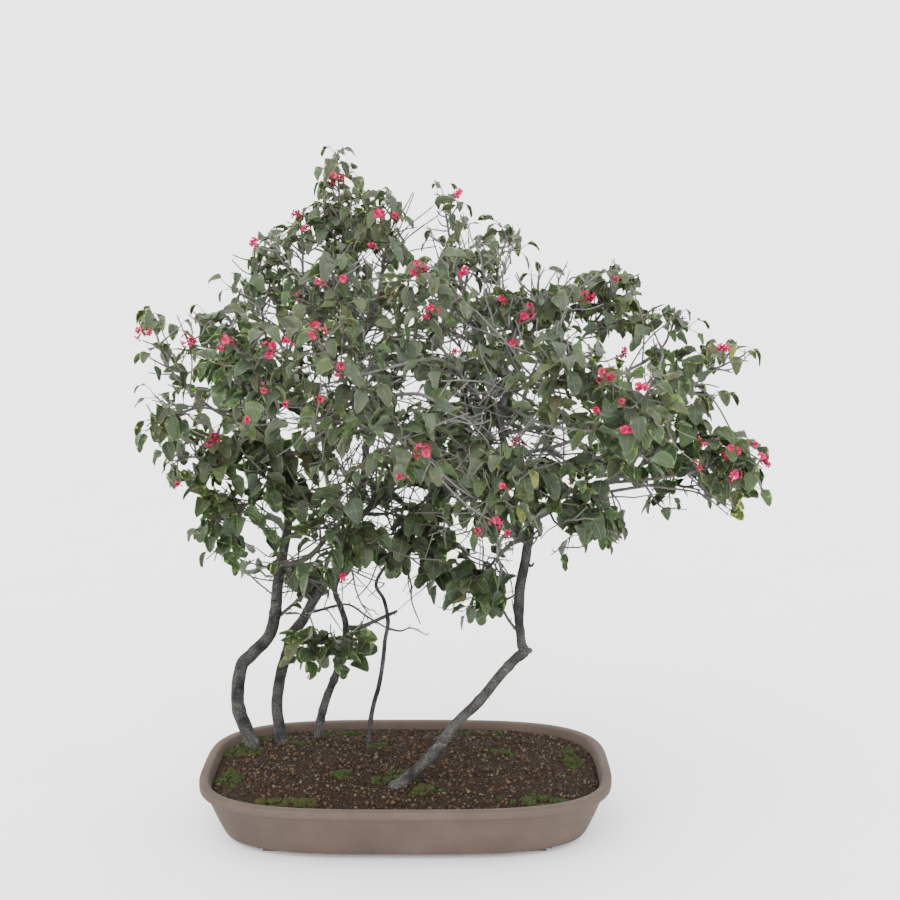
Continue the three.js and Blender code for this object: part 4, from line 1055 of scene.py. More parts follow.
def leaf_look(name, dark, middle, light, vein):
    """Dull green, with a paler rib and side veins, yellow and scorched parts on old leaves."""
    look = Look(name, 0.46, 0.2)
    look.shader.inputs["Subsurface Weight"].default_value = 0.42
    look.shader.inputs["Subsurface Scale"].default_value = 0.0016
    look.shader.inputs["Subsurface Radius"].default_value = (0.7, 1.0, 0.35)
    # The first tint channel holds random tone and painted light inside the crown. The third holds painted
    # shade low in the plant, and where it is near 0 the top of the crown is painted paler.
    chance_and_inner_light, age, low = look.tint()[:3]
    across, along = look.across_and_along()
    colour = look.ramp(chance_and_inner_light, (0.0, dark), (0.5, middle), (0.85, light), (1.0, vein))
    hue = look.math("FRACT", look.times(chance_and_inner_light, 7.3))
    colour = look.over(colour, (78, 98, 80), look.step(hue, 0.55, 0.9), 0.5)
    colour = look.over(colour, (86, 122, 52), look.step(hue, 0.35, 0.05), 0.65)
    colour = look.over(colour, (112, 104, 54), look.step(look.noise(9, 3), 0.5, 0.66), 0.4)
    rust = look.step(look.math("FRACT", look.times(chance_and_inner_light, 31.7)), 0.86, 0.96)
    rust = look.times(rust, look.step(look.noise(40, 2), 0.4, 0.6))
    colour = look.over(colour, (118, 88, 60), rust, 0.6)
    # Painted shade: leaves low in the plant are darkened towards deep green by the third tint channel.
    colour = look.over(colour, (50, 65, 36), low)
    # Painted light: leaves at the top of the crown are painted paler and greyer.
    colour = look.over(colour, (108, 112, 98), look.step(low, 0.12, 0.0), 0.15)
    mottle = look.noise(160, 4)
    colour = look.over(colour, dark, mottle, 0.3)
    out = look.times(look.math("ABSOLUTE", look.less(across, 0.5)), 2)
    rib = look.less(1, look.step(out, 0.015, 0.09))
    slanted = look.less(along, look.times(look.math("POWER", out, 1.25), 0.2))
    beat = look.math("FRACT", look.times(slanted, 7.5))
    side_vein = look.less(1, look.step(look.math("ABSOLUTE", look.less(beat, 0.5)), 0.0, 0.09))
    side_vein = look.times(side_vein, look.step(out, 1.0, 0.75))
    veins = look.math("MAXIMUM", rib, look.times(side_vein, 0.6))
    colour = look.over(colour, vein, veins, 0.55)
    colour = look.over(colour, (160, 164, 64), look.times(age, look.step(look.noise(90, 2), 0.3, 0.6)))
    scorch = look.times(look.step(out, 0.8, 1.0), look.step(look.noise(70, 3), 0.55, 0.7))
    colour = look.over(colour, (104, 82, 46), scorch, 0.6)
    return look.finish(colour, look.less(look.times(mottle, 0.3), veins), 0.5)


def plain_look(name, roughness, first, second, scale=200, bump=0.3):
    """A surface whose colour wanders between two, with a fine grain."""
    look = Look(name, roughness)
    spots = look.noise(scale, 4)
    return look.finish(look.ramp(spots, (0.3, first), (0.7, second)), spots, bump)


def petal_look():
    look = Look("petal", 0.75, 0.08)
    along = look.across_and_along()[1]
    colour = look.ramp(look.tint()[0], (0.0, (160, 6, 66)), (0.5, (220, 20, 94)), (1.0, (252, 48, 122)))
    colour = look.over(colour, (140, 14, 44), look.less(1, look.step(along, 0.02, 0.3)))
    lines = look.step(look.noise(700, 2), 0.4, 0.7)
    colour = look.over(colour, (216, 40, 100), lines, 0.1)
    return look.finish(colour, lines, 0.15)


def clay_look():
    look = Look("clay", 0.78, 0.3)
    clouds = look.noise(9, 4)
    rings = look.noise(14, 3, stretch=(0.6, 0.6, 9))
    grit = look.noise(650, 5)
    colour = look.ramp(clouds, (0.3, (86, 70, 60)), (0.55, (104, 86, 74)), (0.75, (120, 103, 90)))
    colour = look.over(colour, (76, 62, 54), rings, 0.4)
    colour = look.over(colour, (140, 122, 106), grit, 0.35)
    colour = look.over(colour, (50, 41, 36), look.step(look.cells(260), 0.16, 0.08), 0.6)
    return look.finish(colour, look.math("ADD", look.times(grit, 0.5), look.times(rings, 0.8)), 0.8)


def grain_look(name, *colours):
    """Loose grains, each with a colour of its own."""
    look = Look(name, 0.96, 0.15)
    stops = [(k / (len(colours) - 1), colour) for k, colour in enumerate(colours)]
    rough = look.noise(500, 5)
    return look.finish(look.over(look.ramp(look.tint()[0], *stops), (46, 36, 28), rough, 0.5), rough, 1.2)


def soil_look():
    look = Look("soil", 0.97, 0.1)
    crumbs = look.cells(190)
    colour = look.ramp(crumbs, (0.1, (92, 72, 52)), (0.5, (60, 46, 34)), (0.8, (34, 26, 20)))
    colour = look.over(colour, (48, 38, 30), look.noise(12, 4), 0.5)
    return look.finish(colour, look.less(look.noise(300, 4), crumbs), 3)


def moss_look():
    look = Look("moss", 0.95, 0.15)
    tufts = look.noise(260, 5)
    colour = look.ramp(tufts, (0.3, (30, 38, 16)), (0.5, (54, 68, 28)), (0.7, (88, 100, 44)))
    return look.finish(look.over(colour, (76, 74, 38), look.step(look.noise(24, 3), 0.5, 0.7)), tufts, 1.5)


bark = bark_look("bark", (106, 103, 99), (46, 45, 43), 150, 28)
twig_bark = bark_look("twig_bark", (158, 153, 142), (84, 81, 75), 380, 13)
LEAF_LOOKS = [
    leaf_look("leaf_upper", (55, 64, 46), (79, 91, 67), (105, 118, 90), (124, 137, 112)),
    leaf_look("leaf_under", (84, 94, 74), (101, 112, 88), (121, 132, 107), (138, 148, 122)),
    plain_look("petiole", 0.6, (86, 98, 56), (120, 96, 70), 60),
]
BLOOM_LOOKS = [
    petal_look(),
    plain_look("anther", 0.7, (196, 40, 44), (214, 96, 50), 900),
    plain_look("flower_stalk", 0.6, (112, 62, 52), (104, 98, 60), 120),
    plain_look("bud", 0.55, (150, 22, 44), (196, 40, 66), 300),
]
PETAL, ANTHER, FLOWER_STALK, BUD = range(4)


# Bare wood that shows below and inside the crown, by the stem it grows from: its radius where it
# starts and where it ends, and its places.
BARE_WOOD = {
    "stem_right": [
        (7, 4.5, [(146, -402, -30), (154, -404, -31), (163, -399, -32)]),
        (4.5, 2, [(154, -226, -24), (162, -233, -27), (168, -226, -30)]),
        (3.4, 1.6, [(138, -366, -29), (116, -338, -34), (100, -302, -40), (96, -258, -44)]),
        (3.6, 1.8, [
            (34, 128, -28), (16, 160, -90), (-26, 182, -150), (-70, 178, -186), (-110, 168, -200),
            (-170, 152, -200), (-240, 134, -190), (-300, 118, -180),
        ]),
        (3.2, 1.5, [(72, 190, 20), (40, 214, -10), (0, 238, -30), (-30, 262, -40), (-56, 300, -44)]),
        (4.8, 2, [
            (104, 84, 14), (128, 78, -60), (162, 62, -130), (200, 48, -160), (262, 40, -180),
            (330, 34, -190),
        ]),
        (3.2, 1.5, [(104, 56, 11), (150, 40, -20), (210, 26, -50), (262, 4, -70), (310, -24, -80)]),
        (3.2, 1.5, [
            (136, -66, -6), (112, -56, -40), (88, -34, -60), (60, -10, -70), (20, 14, -76), (-30, 26, -80),
        ]),
        (2.6, 1.4, [(124, -10, 1), (100, -9, -30), (60, -8, -44), (10, -12, -50)]),
        (2.8, 1.4, [(126, -16, 1), (170, -10, -40), (240, -8, -60), (306, -2, -70)]),
        (3.8, 1.7, [
            (146, -100, -10), (110, -98, -40), (70, -84, -56), (20, -66, -64), (-34, -52, -70),
            (-100, -56, -76),
        ]),
        (2, 1.2, [(122, 372, 54), (118, 404, 52), (112, 430, 50)]),
        (2, 0.9, [(160, 262, 20), (163, 316, 16), (162, 356, 14)]),
        (2.2, 1, [(196, 268, 10), (216, 330, 8), (214, 350, 8), (216, 366, 6)]),
        (2, 1, [(216, 336, 8), (226, 358, 6), (236, 378, 4)]),
        (2, 1.1, [(2, 470, -6), (-2, 440, -6), (-26, 440, -6), (-50, 444, -8)]),
        (2.4, 1, [(390, -70, 90), (420, -112, 80), (446, -117, 76), (474, -119, 72)]),
        (2.4, 1, [(300, -160, -110), (268, -192, -112), (226, -196, -114), (202, -210, -116)]),
        (2, 0.8, [(516, 168, -26), (548, 160, -26), (578, 168, -28), (594, 188, -30), (613, 196, -30)]),
        (3.2, 1.6, [
            (276, -84, 10), (330, -53, -6), (378, -68, -14), (428, -75, -20), (486, -83, -26),
            (525, -94, -30), (549, -70, -34),
        ]),
        (2.4, 1.2, [(330, -53, -6), (352, -30, -10), (371, -5, -14), (392, 18, -20)]),
    ],
    "stem_low": [
        (6, 3.4, [(-208, -356, 222), (-178, -354, 212), (-146, -340, 200), (-106, -322, 190)]),
    ],
    "stem_thin": [
        (2.6, 1.2, [(-126, -356, 193), (-100, -362, 188), (-76, -356, 180), (-48, -370, 172)]),
    ],
    "stem_middle": [
        (3.6, 1.8, [
            (-284, -326, 241), (-260, -320, 240), (-230, -312, 234), (-200, -310, 226), (-164, -334, 212),
            (-120, -360, 198),
        ]),
        (5, 2, [
            (-170, 60, 134), (-152, 92, 20), (-114, 108, -120), (-64, 112, -180), (-30, 98, -200),
            (10, 84, -210), (40, 60, -210),
        ]),
        (2, 1.1, [(-130, 400, 8), (-108, 430, 4), (-93, 440, 4), (-65, 446, 4)]),
        (2, 1.1, [(-262, 350, 40), (-290, 354, 30), (-322, 356, 20)]),
    ],
    "stem_left": [
        (4.8, 2.4, [
            (-347, -334, 236), (-334, -326, 236), (-302, -298, 228), (-272, -270, 220), (-246, -236, 212),
        ]),
        (2.2, 1.4, [(-342, -156, 214), (-386, -156, 212)]),
        (2.2, 1.3, [(-325, -158, 214), (-244, -157, 200), (-160, -160, 180), (-84, -160, 165)]),
        (2.2, 1.2, [(-351, -292, 232), (-388, -262, 226), (-404, -244, 220)]),
        (2, 1.2, [(-343, -210, 224), (-363, -213, 222), (-387, -196, 218)]),
        (3, 1.2, [(-430, 74, 60), (-502, 86, -10), (-556, 90, -40), (-596, 100, -56)]),
        (3.4, 1.6, [
            (-334, -30, 188), (-300, 0, 60), (-262, 30, -20), (-214, 62, -60), (-160, 70, -70),
            (-110, 60, -76),
        ]),
        (4, 2.2, [(-352, 84, -126), (-322, 92, -160), (-290, 90, -176), (-258, 80, -180)]),
        (4, 2.2, [(-354, 86, -130), (-386, 90, -170), (-424, 86, -186)]),
    ],
}
ELBOW = {
    "stem": "stem_right", "number": 5, "swelling": (0.12, 9), "slim": 0.74,
    "waist": (-0.24, 34), "waist_after": 44,
    "turn": [(132, -417, -29), (147, -404, -30), (143, -388, -30), (141, -366, -30)],
}
# Rings that swell on bark: their height as a share of the radius, and their width.
SCAR, STEM_FOOT, LIMB_SCAR, LEAF_SCAR = (0.1, 6), (0.22, 22), (0.12, 3.5), (0.25, 2.5)
SCARS_A_STEM = 9
LIMB_STEP, STEM_STEP = 7, 5
STEM_TAPER = 1.7
BARE_TWIGS_A_STEM = {"stem_left": 34, "stem_middle": 44, "stem_low": 9, "stem_thin": 9, "stem_right": 64}
# The part of the view that bare twigs start in: its low left and high right corners.
BARE_LOW, BARE_HIGH = (-330, -240), (200, 300)


def add_spurs(skin, line, radius, draw):
    """Short stubs where old side twigs have broken off, along bare wood."""
    for before, place in zip(line[1::3], line[2::3]):
        along = unit(place - before)
        way = unit(around(along, FULL_TURN * draw()) + along * 0.7 * draw())
        length = radius + 2.5 + 6 * draw()
        tube(skin, [place, place + way * length * 0.6, place + way * length], (0.55 * radius, 1.1, 0.6), 5, 1)


def build_stem(name, seed):
    """A stem with its limbs and bare twigs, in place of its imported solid."""
    rng = np.random.default_rng(seed)
    skin = Skin()
    controls, radii = wood[name].controls, wood[name].radii
    lean = unit(controls[1] - controls[0])
    bends = list(controls)
    if name == ELBOW["stem"]:
        bends[ELBOW["number"] : ELBOW["number"] + 1] = [seen(place) for place in ELBOW["turn"]]
    climb = Route(bends).points(STEM_STEP)
    foot = [controls[0] - lean * length for length in (BURIED, 40, 20, 8)]
    points = np.vstack([foot, climb])
    shares = np.linspace(0, 1, len(climb))
    thick = radii[0] + (radii[1] - radii[0]) * shares**STEM_TAPER
    scars = list(BURIED + rng.uniform(30, lengths_along(points)[-1] - BURIED, SCARS_A_STEM))
    relief = with_swellings(bark_relief(seed), scars, *SCAR)
    relief = with_swellings(relief, [BURIED - 4], *STEM_FOOT)
    if name == ELBOW["stem"]:
        elbow = BURIED + lengths_along(controls[: ELBOW["number"] + 1])[-1]
        relief = with_swellings(relief, [elbow], *ELBOW["swelling"])
        relief = with_swellings(relief, [elbow + ELBOW["waist_after"]], *ELBOW["waist"])
        thick = thick * np.interp(shares, [0.3, 0.5], [ELBOW["slim"], 1])
    tube(skin, points, np.concatenate([[radii[0]] * len(foot), thick]), 24, relief=relief)
    for number, spray_name in enumerate(SPRAYS):
        if stem_under(spray_name) == name:
            build_limb(skin, wood[spray_name], seed + number)
    for start, end, places in BARE_WOOD[name]:
        line = Route([seen(place) for place in places]).points(LIMB_STEP)
        tube(skin, line, (start, end), 10, 1, relief=bark_relief(seed + len(places), 0.16))
        add_spurs(skin, line, start, rng.random)
    for _ in range(BARE_TWIGS_A_STEM[name]):
        bare_twig(skin, name, rng.random)
    skin.piece(f"bark_{name}", [bark, twig_bark], "bark", [name])


def build_limb(skin, limb, seed):
    line = Route(limb.controls).points(LIMB_STEP)
    lengths = lengths_along(line)
    taper = np.interp(lengths, [0, lengths[-1]], limb.radii)
    collar = 1 + 0.55 * hill(lengths, 0, 2.2 * limb.under)
    relief = with_swellings(bark_relief(seed, 0.1), lengths[6::7], *LIMB_SCAR)
    tube(skin, line, taper * collar, 10, 1, relief=relief)


def bare_twig(skin, name, draw):
    """A leafless twig on the stem or on one of its limbs."""
    carriers = [name, name] + [spray_name for spray_name in SPRAYS if stem_under(spray_name) == name]
    for _ in range(30):
        carrier = carriers[int(draw() * len(carriers))]
        route = Route(wood[carrier].controls)
        share = 0.3 + 0.65 * draw() if carrier == name else 0.1 + 0.85 * draw()
        start, along = route.at(share), route.way(share)
        if all(low < place < high for low, place, high in zip(BARE_LOW, in_view(start), BARE_HIGH)):
            break
    way = unit(around(along, FULL_TURN * draw()) + along * 0.5)
    way[1] = -abs(way[1]) if draw() < 0.7 else way[1]
    twig, side_twigs = wander(start, way, 110 + 170 * draw(), 20, draw)
    if len(twig) > 3:
        tube(skin, twig, (2.7, 1.3), 6, 1)
        add_side_twigs(skin, side_twigs, (40, 70), 15, (1.7, 1.0), 5, 1, draw)


def add_side_twigs(skin, side_twigs, lengths, step, radii, sides, kind, draw):
    for place, way in side_twigs:
        line, _ = wander(place, way, lengths[0] + lengths[1] * draw(), step, draw)
        if len(line) > 2:
            tube(skin, line, radii, sides, kind)


def add_shoot(skin, shoot, sides, draw):
    """A shoot's wood, with a swelling at each leaf."""
    line = shoot.spine.points(8)
    joints = [12 + 14 * k + 6 * draw() for k in range(int(lengths_along(line)[-1] / 14))]
    tube(skin, line, shoot.radii, sides, relief=with_swellings(smooth, joints, *LEAF_SCAR))


def build_spray(name, seed):
    """A spray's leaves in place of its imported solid, and its wood, which isn't a piece yet."""
    rng = np.random.default_rng(seed)
    tree = node_tree(f"spray_{name}")
    main, shoots = plans[name]
    filling = filling_shoots(name, rng.random)
    built = [as_built(leaf, tree) for twig in (main, *shoots) for leaf in twig.leaves]
    leaves = [leaf for leaf in built if leaf] + [leaf for shoot in filling for leaf in shoot.leaves]
    foliage, twigs = Skin(), Skin()
    grow_leaves(foliage, leaves, rng)
    add_shoot(twigs, main, 7, rng.random)
    for shoot in (*shoots, *filling):
        add_shoot(twigs, shoot, 5, rng.random)
    foliage.piece(f"foliage_{name}", LEAF_LOOKS, "foliage", [f"spray_{name}"])
    return twigs


def build_inner(name, seed):
    """The leafy shoots in one part of the crown, on the wood there."""
    rng = np.random.default_rng(seed)
    foliage, twigs = Skin(), Skin()
    inner = inner_shoots(INNER_SHOOTS[name], rng.random)
    grow_leaves(foliage, [leaf for shoot in inner for leaf in shoot.leaves], rng)
    for shoot in inner:
        add_shoot(twigs, shoot, 5, rng.random)
    foliage.piece(f"foliage_inner_{name}", LEAF_LOOKS, "foliage")
    twigs.piece(f"twigs_inner_{name}", [twig_bark], "bark")


# Petals: share of the length and of the half width, from the throat to the round end.
PETAL_OUTLINE = np.array([
    (0.0, 0.16), (0.14, 0.24), (0.32, 0.46), (0.5, 0.75), (0.68, 0.97), (0.82, 1.0), (0.92, 0.8),
    (0.98, 0.45), (1.0, 0.0),
])


def add_flower(skin, start, way, rng, openness=1.0, stalk=FLOWER["pedicel"]):
    """A tube that opens into five petals, with its anthers."""
    neck = start + way * stalk
    middle = neck + way * FLOWER["depth"]
    tube(skin, [start - way * 1.5, start + way * 3, neck], (0.8, 0.9), 5, FLOWER_STALK)
    throat = [neck - way, neck + way * 2.5, middle - way * 0.6]
    tube(skin, throat, (1.1, 1.7, 2.3), 8, PETAL, tint=(0.1, 0, 0))
    level = around(way, rng.uniform(0, FULL_TURN))
    third = np.cross(way, level)
    turns = np.arange(5) * FULL_TURN / 5 + rng.uniform(-0.12, 0.12, 5)
    out = level * np.cos(turns)[:, None] + third * np.sin(turns)[:, None]
    shares, halves = PETAL_OUTLINE.T
    length = FLOWER["radius"] * rng.uniform(0.61, 0.79, 5)[:, None] * (0.6 + 0.4 * openness)
    rise = (1 - openness) * 9 + rng.uniform(0.5, 2.2, 5)[:, None]
    height = rise * np.sin(shares * math.pi * 0.62) - 1.5 * (shares[None] > 0.8) * (shares - 0.8) * 5
    line = middle + out[:, None] * (length * shares)[:, :, None] + way * height[:, :, None]
    ways = rows_of(np.gradient(line, axis=1))
    side = np.cross(way, out)[:, None] * np.ones((1, len(shares), 1))
    normal = np.cross(side, ways)
    facing = np.sign(dot(normal, way * np.ones_like(normal)).mean())
    half = length * 0.41 * halves
    cup = rng.uniform(0.05, 0.3, (5, 1, 1)) * np.abs(ACROSS) * half[:, :, None]
    tints = np.column_stack([rng.uniform(0, 1, 5), np.zeros(5), np.zeros(5)])
    thick, kinds = FLOWER["thick"], (PETAL, PETAL)
    add_blades(skin, line, side * facing, normal * facing, half, cup, thick, kinds, tints)
    for turn in range(5):
        spoke = level * math.cos(turn * 1.26 + 0.6) + third * math.sin(turn * 1.26 + 0.6)
        base = middle + spoke * 0.9
        tube(skin, [base, base + way * 1.6, base + way * 3 + spoke * 0.5], (0.35, 0.75, 0.3), 5, ANTHER)


def add_bud(skin, start, way, size):
    """An unopened flower on its short stalk."""
    line = [start + way * share * size for share in (0, 0.45, 0.55, 0.7, 0.85, 1.0)]
    tube(skin, line[:3], (0.6, 0.8), 5, FLOWER_STALK)
    tube(skin, line[1:], (0.7, 1.6, 1.9, 1.5, 0.4), 7, BUD)


BUDS_A_HEAD, LATE_BUDS = 7, 4


def head_ways(way):
    """The three sides of a head's node, as the places and ways in which its packed flowers may stand."""
    across = around(way, 0)
    spokes = [turned(across, way, k * FULL_TURN / 3) * STALK["radius"] for k in range(3)]
    low = -way * STALK["node"]
    for first, second in zip(spokes, spokes[1:] + spokes[:1]):
        yield sum([first + low, second + low, first]) / 3, unit(unit(first + second) + way * 0.22)


def add_head(skin, centre, way, neck, tree, rng):
    """A bloom head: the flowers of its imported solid, and the buds and faded flowers between them."""
    tube(skin, [neck, (neck + centre) / 2, centre], (STALK["radius"],), 7, FLOWER_STALK)
    free = []
    for shift, out in [(np.zeros(3), way), *head_ways(way)]:
        middle = centre + shift + out * (FLOWER["pedicel"] + FLOWER["depth"])
        if is_corner(tree, middle):
            add_flower(skin, centre + shift, out, rng)
        else:
            free.append(out)
    for _ in range(BUDS_A_HEAD):
        out = unit(way * rng.uniform(0.1, 1) + around(way, rng.uniform(0, FULL_TURN)))
        add_bud(skin, centre - way * rng.uniform(0, 6), out, rng.uniform(7, 13))
    if len(free) > 1:
        out = min(free, key=lambda way: np.dot(way, SIGHT_AHEAD))
        add_flower(skin, centre, unit(out * 0.6 + way * 0.4 - SIGHT_AHEAD), rng, rng.uniform(0.4, 0.7), 12)


def add_late_bloom(skin, place, centre, way, rng):
    """A small half-open flower with a few buds, which looks outwards."""
    outward = SIGHT_AHEAD if place[2] > 200 else -SIGHT_AHEAD
    aside = around(SIGHT_AHEAD, rng.uniform(0, FULL_TURN)) * rng.uniform(0.2, 1)
    add_flower(skin, centre, unit(way * 0.4 + aside + outward), rng, rng.uniform(0, 0.4), 8)
    for _ in range(LATE_BUDS):
        out = unit(way * rng.uniform(0.3, 1) + around(way, rng.uniform(0, FULL_TURN)))
        add_bud(skin, centre, out, rng.uniform(6, 11))


# Bare twigs that tangle in front of a spray, and how many.
TANGLES = {
    "trunk_front": 20, "mid_front": 7, "centre_low": 5, "crossing": 8, "low_right": 5, "right_centre": 5,
}


def add_tangle(skin, name, count, draw):
    spine = plans[name][0].spine
    for _ in range(count):
        share = draw()
        way = unit(around(SIGHT_AHEAD, FULL_TURN * draw()) - SIGHT_AHEAD * (0.15 + 0.5 * draw()))
        twig, side_twigs = wander(spine.at(share), way, 60 + 90 * draw(), 13, draw)
        if len(twig) > 3:
            tube(skin, twig, (1.8, 0.9), 5)
        add_side_twigs(skin, side_twigs, (30, 50), 11, (1.3, 0.8), 4, 0, draw)


def build_plant():
    twigs = {name: build_spray(name, SEEDS["sprays"] + number) for number, name in enumerate(SPRAYS)}
    for number, name in enumerate(STEMS):
        build_stem(name, SEEDS["stems"] + 100 * number)
    for number, name in enumerate(INNER_SHOOTS):
        build_inner(name, SEEDS["inner"] + number)
    for number, (name, count) in enumerate(TANGLES.items()):
        add_tangle(twigs[name], name, count, np.random.default_rng(SEEDS["tangles"] + number).random)
    taken, small_heads = set(), {}
    for number, place in enumerate(BLOOM_HEADS + SMALL_BLOOMS):
        rng = np.random.default_rng(SEEDS["blooms"] + number)
        name, share, bow, centre, way, neck = plan_bloom(place, taken)
        taken.add((name, share))
        tube(twigs[name], bow.points(6, 0.05), (SHOOT["radii"][0], STALK["radius"]), 6)
        if number < len(BLOOM_HEADS):
            node, skin = f"bloom_{number + 1}", Skin()
            add_head(skin, centre, way, neck, node_tree(node), rng)
            skin.piece(f"flowers_{number + 1}", BLOOM_LOOKS, "petals", [node])
        else:
            skin = small_heads.setdefault(name, Skin())
            add_head(skin, centre, way, neck, node_tree(f"spray_{name}"), rng)
    for number, place in enumerate(LATE_BLOOMS):
        name, _, bow, centre, way, _ = plan_bloom(place)
        tube(twigs[name], np.vstack([bow.points(6, 0.05), centre]), (STALK["radius"], 1), 6)
        skin = small_heads.setdefault(name, Skin())
        add_late_bloom(skin, place, centre, way, np.random.default_rng(SEEDS["late_blooms"] + number))
    for name, skin in small_heads.items():
        skin.piece(f"small_flowers_{name}", BLOOM_LOOKS, "petals")
    for name, skin in twigs.items():
        skin.piece(f"twigs_{name}", [twig_bark], "bark")


# The wall of the tray from its foot over the rim to its floor: inset from the outside, and height.
TRAY_WALL = [
    (60, 12), (50, 12), (47, 13), (45, 16), (38, 32), (28, 56), (19, 80), (14, 91), (12.5, 94), (11.4, 97),
    (9, 99.6), (5, 101.4), (2, 103), (0.6, 105), (0, 108), (0, 116), (0.8, 118.6), (3, 120), (8, 120.4),
    (14, 120.2), (17.4, 119), (19, 116.6), (20.4, 112), (26, 97), (36, 76), (47, 50), (54, 34), (60, 28),
]
TRAY_SIDES = 200
DRAIN = {"x": 190, "radius": 16, "depth": 80, "z": 20}
FOOT = {"x": 245, "y": 144, "length": 96, "depth": 40, "height": 15, "round": 12}
CENTRE_PAD_RADIUS = 38


def tray_ring(inset, z, sides=TRAY_SIDES):
    turns = np.linspace(0, FULL_TURN, sides, endpoint=False)
    x, y = (np.sign(c) * np.abs(c) ** (2 / TRAY["squareness"]) for c in (np.cos(turns), np.sin(turns)))
    ring = [(TRAY["half_length"] - inset) * x, (TRAY["half_depth"] - inset) * y, np.full(sides, float(z))]
    return np.column_stack(ring)


def mesh_object(name, fill):
    shape = bmesh.new()
    fill(shape)
    bmesh.ops.recalc_face_normals(shape, faces=shape.faces)
    mesh = bpy.data.meshes.new(name)
    shape.to_mesh(mesh)
    shape.free()
    return linked(name, mesh)


def tray_body(shape):
    rings = [[shape.verts.new(point * MM) for point in tray_ring(*row)] for row in TRAY_WALL]
    for low, high in zip(rings, rings[1:]):
        for k in range(TRAY_SIDES):
            after = (k + 1) % TRAY_SIDES
            shape.faces.new((low[k], low[after], high[after], high[k]))
    shape.faces.new(rings[0][::-1])
    shape.faces.new(rings[-1])


def add_cylinder(shape, radius, height, x, z):
    size = {"radius1": radius * MM, "radius2": radius * MM, "depth": height * MM}
    made = bmesh.ops.create_cone(shape, cap_ends=True, segments=48, **size)["verts"]
    bmesh.ops.translate(shape, vec=(x * MM, 0, z * MM), verts=made)


def tray_feet(shape):
    for x in (-FOOT["x"], FOOT["x"]):
        for y in (-FOOT["y"], FOOT["y"]):
            made = bmesh.ops.create_cube(shape, size=1)["verts"]
            bmesh.ops.scale(shape, vec=[FOOT[key] * MM for key in ("length", "depth", "height")], verts=made)
            bmesh.ops.translate(shape, vec=(x * MM, y * MM, FOOT["height"] / 2 * MM), verts=made)
            edges = dict.fromkeys(edge for vert in made for edge in vert.link_edges)
            upright = [edge for edge in edges if abs(edge.verts[0].co.z - edge.verts[1].co.z) > 1e-6]
            bmesh.ops.bevel(shape, geom=upright, offset=FOOT["round"] * MM, segments=6, affect="EDGES")
    add_cylinder(shape, CENTRE_PAD_RADIUS, FOOT["height"], 0, FOOT["height"] / 2)


def tray_drains(shape):
    for x in (-DRAIN["x"], DRAIN["x"]):
        add_cylinder(shape, DRAIN["radius"], DRAIN["depth"], x, DRAIN["z"])


def build_tray():
    body = mesh_object("clay_tray", tray_body)
    for operation, fill in (("UNION", tray_feet), ("DIFFERENCE", tray_drains)):
        tool = mesh_object("tray_tool", fill)
        cut = body.modifiers.new(operation, "BOOLEAN")
        cut.operation, cut.object, cut.solver = operation, tool, "EXACT"
        whole = bpy.data.meshes.new_from_object(body.evaluated_get(bpy.context.evaluated_depsgraph_get()))
        body.modifiers.clear()
        body.data = whole
        bpy.data.objects.remove(tool)
    body.data.materials.clear()
    body.data.set_sharp_from_angle(angle=math.radians(40))
    for face in body.data.polygons:
        face.use_smooth = True
    finish_piece(body, [clay_look()], ["tray"])


def soil_lumps(x, y):
    return noise.noise((x / 34, y / 34, 5)) * 3.5


# The side of the soil, just inside the tray: inset from the tray's outside, and height.
SOIL_WALL = [(58, 28.3), (46, 50), (33, 80), (24.6, 99)]


def build_soil():
    """A rough mound that fills the tray."""
    sides, skin = 150, Skin()
    rings = [tray_ring(inset, z, sides) for inset, z in SOIL_WALL]
    for share in np.linspace(0.985, 0.02, 44):
        ring = tray_ring(24, 0, sides) * share
        for point in ring:
            x, y = point[:2]
            crumbs = noise.noise((x / 9, y / 9, 0)) * 2.4
            point[2] = soil_height(x, y) + (crumbs + soil_lumps(x, y)) * min(1, (1.02 - share) * 6)
        rings.append(ring)
    points = np.vstack([*rings, [[0, 0, SOIL_WALL[0][1]], rings[-1].mean(axis=0)]])
    skin.add(points, grid(len(rings), sides), end_fans(len(rings), sides))
    skin.piece("soil_mound", [soil_look()], "soil", ["soil"])


# How many grains are tried, and how far from the tray's outside they may be placed and may stay.
GRAINS = {"count": 3900, "place": 30, "stay": 28}


def build_grains():
    """Loose grains on the soil."""
    rng = np.random.default_rng(SEEDS["grains"])
    template = bmesh.new()
    bmesh.ops.create_icosphere(template, subdivisions=1, radius=1)
    corners = np.array([corner.co for corner in template.verts])
    faces = np.array([[corner.index for corner in face.verts] for face in template.faces])
    template.free()
    grains = Skin()
    n = TRAY["squareness"]
    long, deep = TRAY["half_length"], TRAY["half_depth"]
    for _ in range(GRAINS["count"]):
        x = rng.uniform(-1, 1) * (long - GRAINS["place"])
        y = rng.uniform(-1, 1) * (deep - GRAINS["place"])
        if abs(x / (long - GRAINS["stay"])) ** n + abs(y / (deep - GRAINS["stay"])) ** n > 1:
            continue
        size = 1.5 + 3.2 * rng.random() ** 2.2
        stretch = rng.uniform(0.65, 1.15, 3) * size
        shape = corners * rng.uniform(0.82, 1.15, (len(corners), 1)) * stretch
        turn = rng.uniform(0, FULL_TURN)
        cosine, sine = math.cos(turn), math.sin(turn)
        spin = np.array([[cosine, -sine, 0], [sine, cosine, 0], [0, 0, 1]])
        base = np.array([x, y, soil_height(x, y) + soil_lumps(x, y) + 0.2 * size])
        grains.add(shape @ spin.T + base, (), faces, tint=(rng.random(), 0, 0))
    colours = (58, 44, 33), (96, 74, 53), (128, 104, 78), (92, 82, 74), (150, 134, 112)
    grains.piece("soil_grains", [grain_look("grain", *colours)], "soil")


